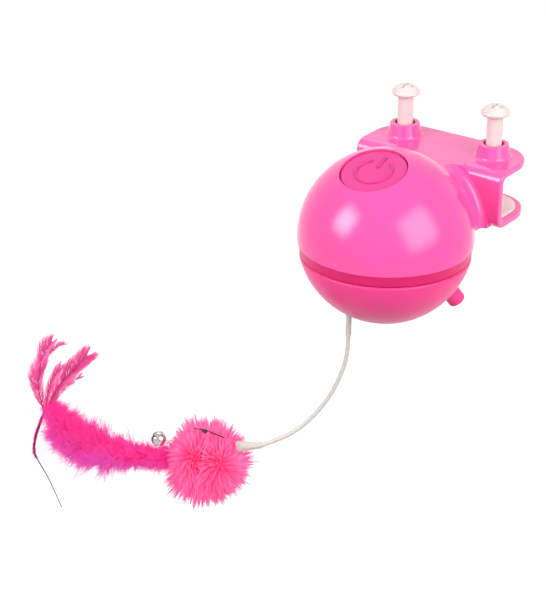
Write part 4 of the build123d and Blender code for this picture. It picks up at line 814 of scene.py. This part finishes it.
def pile_lines(rng):
    skin = unit(directions(PILE_HAIRS) + rng.normal(0, 0.02, (PILE_HAIRS, 3)))
    wisps = unit(directions(WISPS, 1.3) + rng.normal(0, 0.03, (WISPS, 3)))
    wisp_length = (PILE_LENGTH + 4.0 * field(wisps, 2.6, 7.0) + rng.normal(0, 1.6, WISPS)) * MM
    for aside, up, front, more, wide in LOBES:
        nearness = wisps @ np.array(picture_direction(aside, up, front))
        longer = wisp_length + more * MM * np.exp((nearness - 1) / wide)
        wisp_length = np.maximum(PILE_SHORTEST * MM, longer)
    wisp_lean = 1.5 + 0.9 * field(wisps, 2.4, 3.0) + rng.normal(0, 0.16, WISPS)
    wisp_swirl = 0.6 * field(wisps, 2.0, 11.0) + rng.normal(0, 0.10, WISPS)

    nearest = np.argmax(skin @ wisps.T, axis=1)
    free = grown(skin, wisp_lean[nearest] + rng.normal(0, 0.07, PILE_HAIRS), wisp_swirl[nearest],
                 wisp_length[nearest] * rng.uniform(0.75, 1.08, PILE_HAIRS))
    gathered = grown(wisps, wisp_lean, wisp_swirl, wisp_length)[nearest]
    pull = WISP_PULL * np.linspace(0, 1, PILE_STEPS)[None, :, None]
    tint = np.clip(0.42 + 0.35 * field(wisps, 5.0, 2.0)[nearest] + rng.normal(0, 0.13, WISPS)[nearest]
                   + rng.normal(0, 0.08, PILE_HAIRS), 0, 1)
    return free * (1 - pull) + gathered * pull + np.array(PLUSH), tint


lines, tint = pile_lines(np.random.default_rng(11))
plush = hair_mesh("plush_pile", lines, [0.19, 0.18, 0.13, 0.04], tint, plush_fur)
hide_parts("plush_ball")
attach(plush, "bowl")

# %% [markdown]
# ## The plush's core
#
# Between hairs one looks onto the backing cloth. A smooth egg would show there, so the core is a sphere of
# small triangles that noise pushes in and out. The same helper makes the knot later.


# %% The core under the pile
def soft_core(name, middle, radii, material, roughen_mm, scale, deeper=0.0):
    """An egg of noise-pushed skin. A larger scale makes smaller bumps."""
    bm = bmesh.new()
    bmesh.ops.create_icosphere(bm, subdivisions=5, radius=1.0)
    for v, place in zip(bm.verts, on_core(np.array([v.co for v in bm.verts]), radii, deeper)):
        v.co = Vector(place) * (1 + roughen_mm * MM / radii[0] * noise.noise(v.co * scale)) + middle
    return as_object(name, bm, material)


plush_backing = moulded("plush backing", (238, 62, 136), 0.1, 0.8, 0.05, 1200, 0.1)
plush_core = soft_core("plush_core", PLUSH, CORE, plush_backing, 1.0, 3.0, DEEPER)
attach(plush_core, "bowl")
print("plush core:", [round(d / MM, 1) for d in plush_core.dimensions], "mm")

# %% [markdown]
# ## Lines along the lure
#
# The tail, the feathers and the bare quill all grow along a curved stem in the lure's plane. A few points
# say where each stem runs, and a Catmull-Rom curve, unlike a NURBS one, passes through every one of them.


# %% Smooth stems
def smooth_line(points, at):
    """Catmull-Rom through the points, at parameters from 0 to 1. Points may have any number of columns."""
    p = np.asarray(points, float)
    p = np.vstack([2 * p[0] - p[1], p, 2 * p[-1] - p[-2]])
    u = np.clip(np.asarray(at, float), 0, 1) * (len(points) - 1)
    i = np.minimum(u.astype(int), len(points) - 2)
    f = (u - i)[:, None]
    a, b, c, d = p[i], p[i + 1], p[i + 2], p[i + 3]
    return 0.5 * (2 * b + (c - a) * f + (2 * a - 5 * b + 4 * c - d) * f * f
                  + (3 * b - a - 3 * c + d) * f ** 3)


def heading(points, at, step=0.02):
    """Which way a smooth line runs at each parameter, in the lure's plane."""
    return unit(smooth_line(points, at + step) - smooth_line(points, at - step))


def right_of(ahead):
    """The directions a quarter turn to the viewer's right of those ahead."""
    return np.c_[-ahead[:, 1], ahead[:, 0]]


def as_direction(plane, out):
    """Directions said in the lure's plane and out of it, as directions in space."""
    return plane[:, :1] * np.array(ALONG) + plane[:, 1:] * np.array(UP) + out[:, None] * np.array(OUT)


def on_lure(sz, out):
    """Many points of the lure, from places in its plane and millimetres in front."""
    return (np.array(BALL) + np.outer(sz[:, 0], np.array(ALONG)) * MM + np.outer(sz[:, 1], np.array(UP)) * MM
            + np.outer(out, np.array(OUT)) * MM)


TAIL_LINE = [(106.0, -132.5), (116.0, -132.5), (127.0, -131.5), (138.0, -131.0), (148.0, -129.5),
             (157.0, -126.0), (164.5, -119.5), (169.8, -111.5), (173.5, -103.0)]
TAIL_THICK = [6.6, 7.0, 8.2, 10.4, 12.6, 13.6, 11.6, 7.4, 4.0]


def tail_thickness(at):
    return smooth_line(np.array(TAIL_THICK)[:, None], at)[:, 0]


print("the tail is", round(tail_thickness(np.linspace(0, 1, 50)).max(), 1), "mm from stem to skin at most")

# %% [markdown]
# ## Marabou tail
#
# Marabou is down on a soft quill. Its very fine barbs leave the quill in small tufts, stand off all round,
# and sweep back towards the tail's end. Some ridges of tufts stand higher than others, and thinner, longer
# wisps give the tail its haze. The upper side is hot pink, and under its middle the tint turns it purple.

# %% Tufts of down
DOWN_TUFTS, WISP_TUFTS, TUFT_HAIRS, DOWN_STEPS = 1200, 620, 8, 4
BACK_SWEEP, RIDGE_SWEEP = 0.5, 0.9
TUFT_WIDTH, FRAY = 0.13, 1.6
PURPLE_AT, PURPLE_LONG = 0.48, 0.32


def tuft_lines(rng, at, around, ridge, thick, longer, spread_out):
    """One line for each tuft, out from the quill and bent back along it."""
    tufts = len(at)
    centre, ahead = smooth_line(TAIL_LINE, at), heading(TAIL_LINE, at)
    across = right_of(ahead)
    across *= np.sign(across[:, 1:])
    radial = as_direction(across * np.cos(around)[:, None], np.sin(around))
    forward = as_direction(ahead, np.zeros(tufts))
    lean = (BACK_SWEEP + RIDGE_SWEEP * ridge + rng.normal(0, 0.35, tufts))[:, None]
    lean = lean * (1 - 1.3 * at ** 3)[:, None]
    start = unit(radial + 0.2 * forward + rng.normal(0, 0.14 * spread_out, (tufts, 3)))
    end = unit(0.8 * radial + (0.2 + lean) * forward + rng.normal(0, 0.25 * spread_out, (tufts, 3)))
    length = thick * (0.88 + 0.4 * ridge + rng.normal(0, 0.13, tufts)) * longer * MM
    root = on_lure(centre, np.zeros(tufts)) + radial * (0.2 * thick * MM)[:, None]
    return bent_line(root, start, end, length, DOWN_STEPS)


def tail_lines(rng, tufts, longer, spread_out):
    """Barbs side by side in tufts, each a little shorter, aside and frayed."""
    at = np.sort(rng.beta(1.05, 0.85, tufts))
    thick = tail_thickness(at)
    around = rng.uniform(0, 2 * math.pi, tufts)
    ridge = np.array([noise.noise(Vector((a * 8, math.cos(w) * 1.3, math.sin(w) * 1.3)))
                      for a, w in zip(at, around)])
    tuft = np.repeat(tuft_lines(rng, at, around, ridge, thick, longer, spread_out), TUFT_HAIRS, axis=0)
    count = len(tuft)
    t = np.linspace(0, 1, DOWN_STEPS)[None, :, None]
    aside = rng.normal(0, 1.0, (count, 1, 3)) * np.repeat(thick, TUFT_HAIRS)[:, None, None] * TUFT_WIDTH * MM
    fray = rng.normal(0, 0.5, (count, 1, 3)) * MM * spread_out
    shorter = rng.uniform(0.72, 1.0, (count, 1, 1))
    lines = tuft[:, :1] + (tuft - tuft[:, :1]) * shorter + aside * (1 - 0.8 * t) + fray * t * t * FRAY
    below = np.clip((0.75 - np.cos(around)) / 0.7, 0, 1)
    purple = 0.10 + 0.9 * below * np.exp(-((at - PURPLE_AT) / PURPLE_LONG) ** 2)
    tint = np.repeat(purple + 0.5 * ridge + rng.normal(0, 0.12, tufts), TUFT_HAIRS)
    return lines, np.clip(tint + rng.normal(0, 0.08, count), 0, 1)


rng = np.random.default_rng(23)
lines, tint = tail_lines(rng, DOWN_TUFTS, longer=1.0, spread_out=1.0)
tail = hair_mesh("marabou_down", lines, [0.16, 0.16, 0.12, 0.04], tint, marabou_down)
lines, tint = tail_lines(rng, WISP_TUFTS, longer=1.42, spread_out=2.2)
tail_wisps = hair_mesh("marabou_wisps", lines, [0.08, 0.08, 0.06, 0.03], tint, marabou_down)

# %% [markdown]
# ## The tail's core
#
# Near the quill the down is so dense that it looks solid. Twice the hairs would be slow. A slim spindle is
# lighter: a sphere whose rings are moved along the quill, scaled to the tail and roughened.

# %% Spindle inside the down
CORE_SHARE = 0.5


def tail_core(material):
    bm = bmesh.new()
    bmesh.ops.create_icosphere(bm, subdivisions=5, radius=1.0)
    for v in bm.verts:
        at = np.array([0.5 + 0.49 * v.co.z])
        thick = tail_thickness(at)[0] * CORE_SHARE
        wide = 1 + 0.4 * noise.noise(Vector((at[0] * 10, v.co.x * 1.6, v.co.y * 1.6)))
        r = math.hypot(v.co.x, v.co.y) or 1e-9
        share = min(1.0, r * 1.6)
        sz = smooth_line(TAIL_LINE, at) + np.array([[0.2, 0.98]]) * (v.co.x / r * thick * share * wide)
        v.co = Vector(on_lure(sz, np.array([v.co.y / r * thick * share * wide]))[0])
    bmesh.ops.recalc_face_normals(bm, faces=bm.faces)
    return as_object("tail_core", bm, material)


down_backing = moulded("down backing", (250, 44, 158), 0.12, 0.8, 0.05, 900, 0.1)
tail_inside = tail_core(down_backing)
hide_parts("marabou_tail")
for piece in (tail, tail_wisps, tail_inside):
    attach(piece, "bowl")
print("tail core:", len(tail_inside.data.polygons), "faces")

# %% [markdown]
# ## Feathers
#
# Each hackle feather is a dark rib with barbs in one thin blade. A leaf-shaped card would be hard at its
# edge. Here the barbs are real: they leave the rib at a sharp angle, curve towards the tip and part in a few
# narrow splits. The longest feather curls over at its tip.

# %% Hackle feathers
# line of the rib; barb length at root and tip, on the left and the right; barbs on a side; mm in front
FEATHERS = [
    dict(rib=[(176.6, -107.0), (178.6, -96.6), (178.9, -89.4), (178.0, -82.3), (176.2, -75.1),
              (173.4, -69.0), (170.6, -65.0)], left=(12.0, 9.0), right=(11.0, 8.0), barbs=300, out=0.6),
    dict(rib=[(177.0, -88.0), (176.0, -80.0), (173.8, -74.0), (170.6, -69.6), (167.4, -67.2),
              (164.6, -66.2)], left=(3.0, 4.0), right=(4.0, 5.0), barbs=110, out=-0.8),
    dict(rib=[(175.8, -105.5), (174.3, -96.4), (172.4, -89.2), (169.6, -83.2), (166.4, -78.0)],
         left=(4.5, 6.0), right=(4.5, 6.0), barbs=170, out=1.6),
    dict(rib=[(175.4, -107.4), (172.0, -97.4), (167.0, -90.0), (161.6, -83.2), (157.0, -77.6),
              (153.0, -73.4)], left=(14.0, 11.0), right=(11.0, 11.0), barbs=380, out=-1.6),
    dict(rib=[(173.4, -104.5), (169.0, -97.6), (163.8, -91.6), (160.0, -88.2), (157.4, -86.4)],
         left=(4.0, 5.0), right=(4.0, 5.0), barbs=70, out=-3.0),
]
BARB_STEPS, OPEN_ANGLE, CLOSED_SHARE = 4, 0.50, 0.35


def feather_lines(rng, rib, left, right, barbs, out):
    """Barbs on both sides of one rib, parallel and close, that lean alike in groups."""
    rows, tints = [], []
    for sign, (at_root, at_tip) in ((1, right), (-1, left)):
        at = np.sort(rng.uniform(0.04, 1.0, barbs))
        group = np.array([noise.noise(Vector((a * 5, sign * 3.1, out * 7.7))) for a in at])
        ahead = heading(rib, at, 0.03)
        across = right_of(ahead) * sign
        full = np.minimum(1, np.minimum(0.4 + at * 3, (1.25 - at) * 2.0))
        uneven = 1 + 0.15 * group + rng.normal(0, 0.10, barbs)
        length = (at_root + (at_tip - at_root) * at) * full * uneven
        angle = OPEN_ANGLE + 0.10 * group + rng.normal(0, 0.05, barbs)
        lift = 0.12 * group + rng.normal(0, 0.06, barbs)

        def leaning(angle, lift):
            return unit(as_direction(ahead * np.cos(angle)[:, None] + across * np.sin(angle)[:, None], lift))

        rows.append(bent_line(on_lure(smooth_line(rib, at), np.full(barbs, out)), leaning(angle, lift),
                              leaning(angle * CLOSED_SHARE, lift * 1.5), length * MM, BARB_STEPS))
        tints.append(np.clip(0.45 + group * 0.7 + rng.normal(0, 0.10, barbs), 0, 1))
    return np.concatenate(rows), np.concatenate(tints)


RIB_STEPS, RIB_LIFT = 17, 0.15
rng = np.random.default_rng(5)
blades, blade_tints = zip(*(feather_lines(rng, **feather) for feather in FEATHERS))
along_rib = np.linspace(0, 1, RIB_STEPS)
ribs = np.array([on_lure(smooth_line(f["rib"], along_rib), np.full(RIB_STEPS, f["out"] + RIB_LIFT))
                 for f in FEATHERS])
hackles = hair_mesh("hackle_barbs", np.concatenate(blades), [0.09, 0.10, 0.09, 0.04],
                    np.concatenate(blade_tints), hackle_barbs)
hackle_quills = hair_mesh("hackle_quills", ribs, np.linspace(0.30, 0.08, RIB_STEPS), [0.4] * len(ribs),
                          hackle_rib)
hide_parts("hackle_feathers")
for piece, slot in ((hackles, "hackle"), (hackle_quills, "quill")):
    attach(piece, "bowl")

# %% [markdown]
# ## The stripped quill
#
# Below the feathers a bare, dark quill bends down. It is one very long hair that tapers. Only its upper
# part still has a few short barbs, which lie close to it.

# %% Quill with its last barbs
QUILL_LINE = [(176.6, -106.0), (179.4, -113.2), (182.0, -120.5), (183.4, -127.0), (183.4, -132.6),
              (180.9, -138.5), (177.2, -146.5), (173.8, -156.0), (170.6, -165.4)]
QUILL_BARBS, QUILL_STEPS = 420, 25
BARBS_FROM, BARBS_TO = 0.02, 0.52


def quill_barb_lines(rng):
    at = np.sort(rng.uniform(BARBS_FROM, BARBS_TO, QUILL_BARBS))
    root, ahead = smooth_line(QUILL_LINE, at), heading(QUILL_LINE, at)
    across = right_of(ahead) * rng.choice([-1, 1], QUILL_BARBS)[:, None]
    length = rng.uniform(1.8, 3.6, QUILL_BARBS)
    row = np.zeros((QUILL_BARBS, BARB_STEPS, 3))
    for k in range(BARB_STEPS):
        t = k / (BARB_STEPS - 1)
        place = root + ahead * (length * 0.92 * t)[:, None] + across * (length * 0.32 * t)[:, None]
        row[:, k] = on_lure(place, rng.normal(0, 0.3, QUILL_BARBS) * t)
    return row, rng.uniform(0.2, 0.9, QUILL_BARBS)


row, tint = quill_barb_lines(np.random.default_rng(8))
quill_barbs = hair_mesh("quill_barbs", row, [0.12, 0.12, 0.10, 0.04], tint, hackle_barbs)
quill_at = np.linspace(0, 1, QUILL_STEPS)
bare_quill = hair_mesh("bare_quill", [on_lure(smooth_line(QUILL_LINE, quill_at), np.zeros(QUILL_STEPS))],
                       np.linspace(0.62, 0.26, QUILL_STEPS), [0.35], quill_dark)
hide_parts("quill_feather")
for piece in (quill_barbs, bare_quill):
    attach(piece, "bowl")

# %% [markdown]
# ## Stitch
#
# A bit of dark thread lies in a shallow bow on top of the plush, with a knot in it. The bow is the same
# kind of smooth line as the wire, only thinner, and the knot is a tiny lump of the core's kind.

# %% Thread and knot
THREAD_R = 0.35
STITCH = [(97.2, -112.2, 2.9), (92.6, -111.4, 4.3), (87.4, -113.0, 5.2), (81.4, -115.4, 5.6)]
KNOT, KNOT_RADII = (91.4, -112.3, 4.9), np.array((1.5, 1.2, 1.1)) * MM
thread_dark = moulded("thread", (58, 22, 46), 0.15, 0.6, 0.05, 3500, 0.05)
stitch = nurbs_curve("stitch", [lure_point(*p) for p in STITCH], THREAD_R * MM)
stitch.data.materials.append(thread_dark)
knot = soft_core("knot", lure_point(*KNOT), KNOT_RADII, thread_dark, 0.5, 2.0)
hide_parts("toy_thread")
for piece in (stitch, knot):
    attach(piece, "bowl")
print("the stitch is", round((lure_point(*STITCH[0]) - lure_point(*STITCH[-1])).length / MM, 1), "mm wide")

# %% [markdown]
# ## The wire's coating
#
# The wire gets its satin coating.

wire.data.materials.append(wire_white)
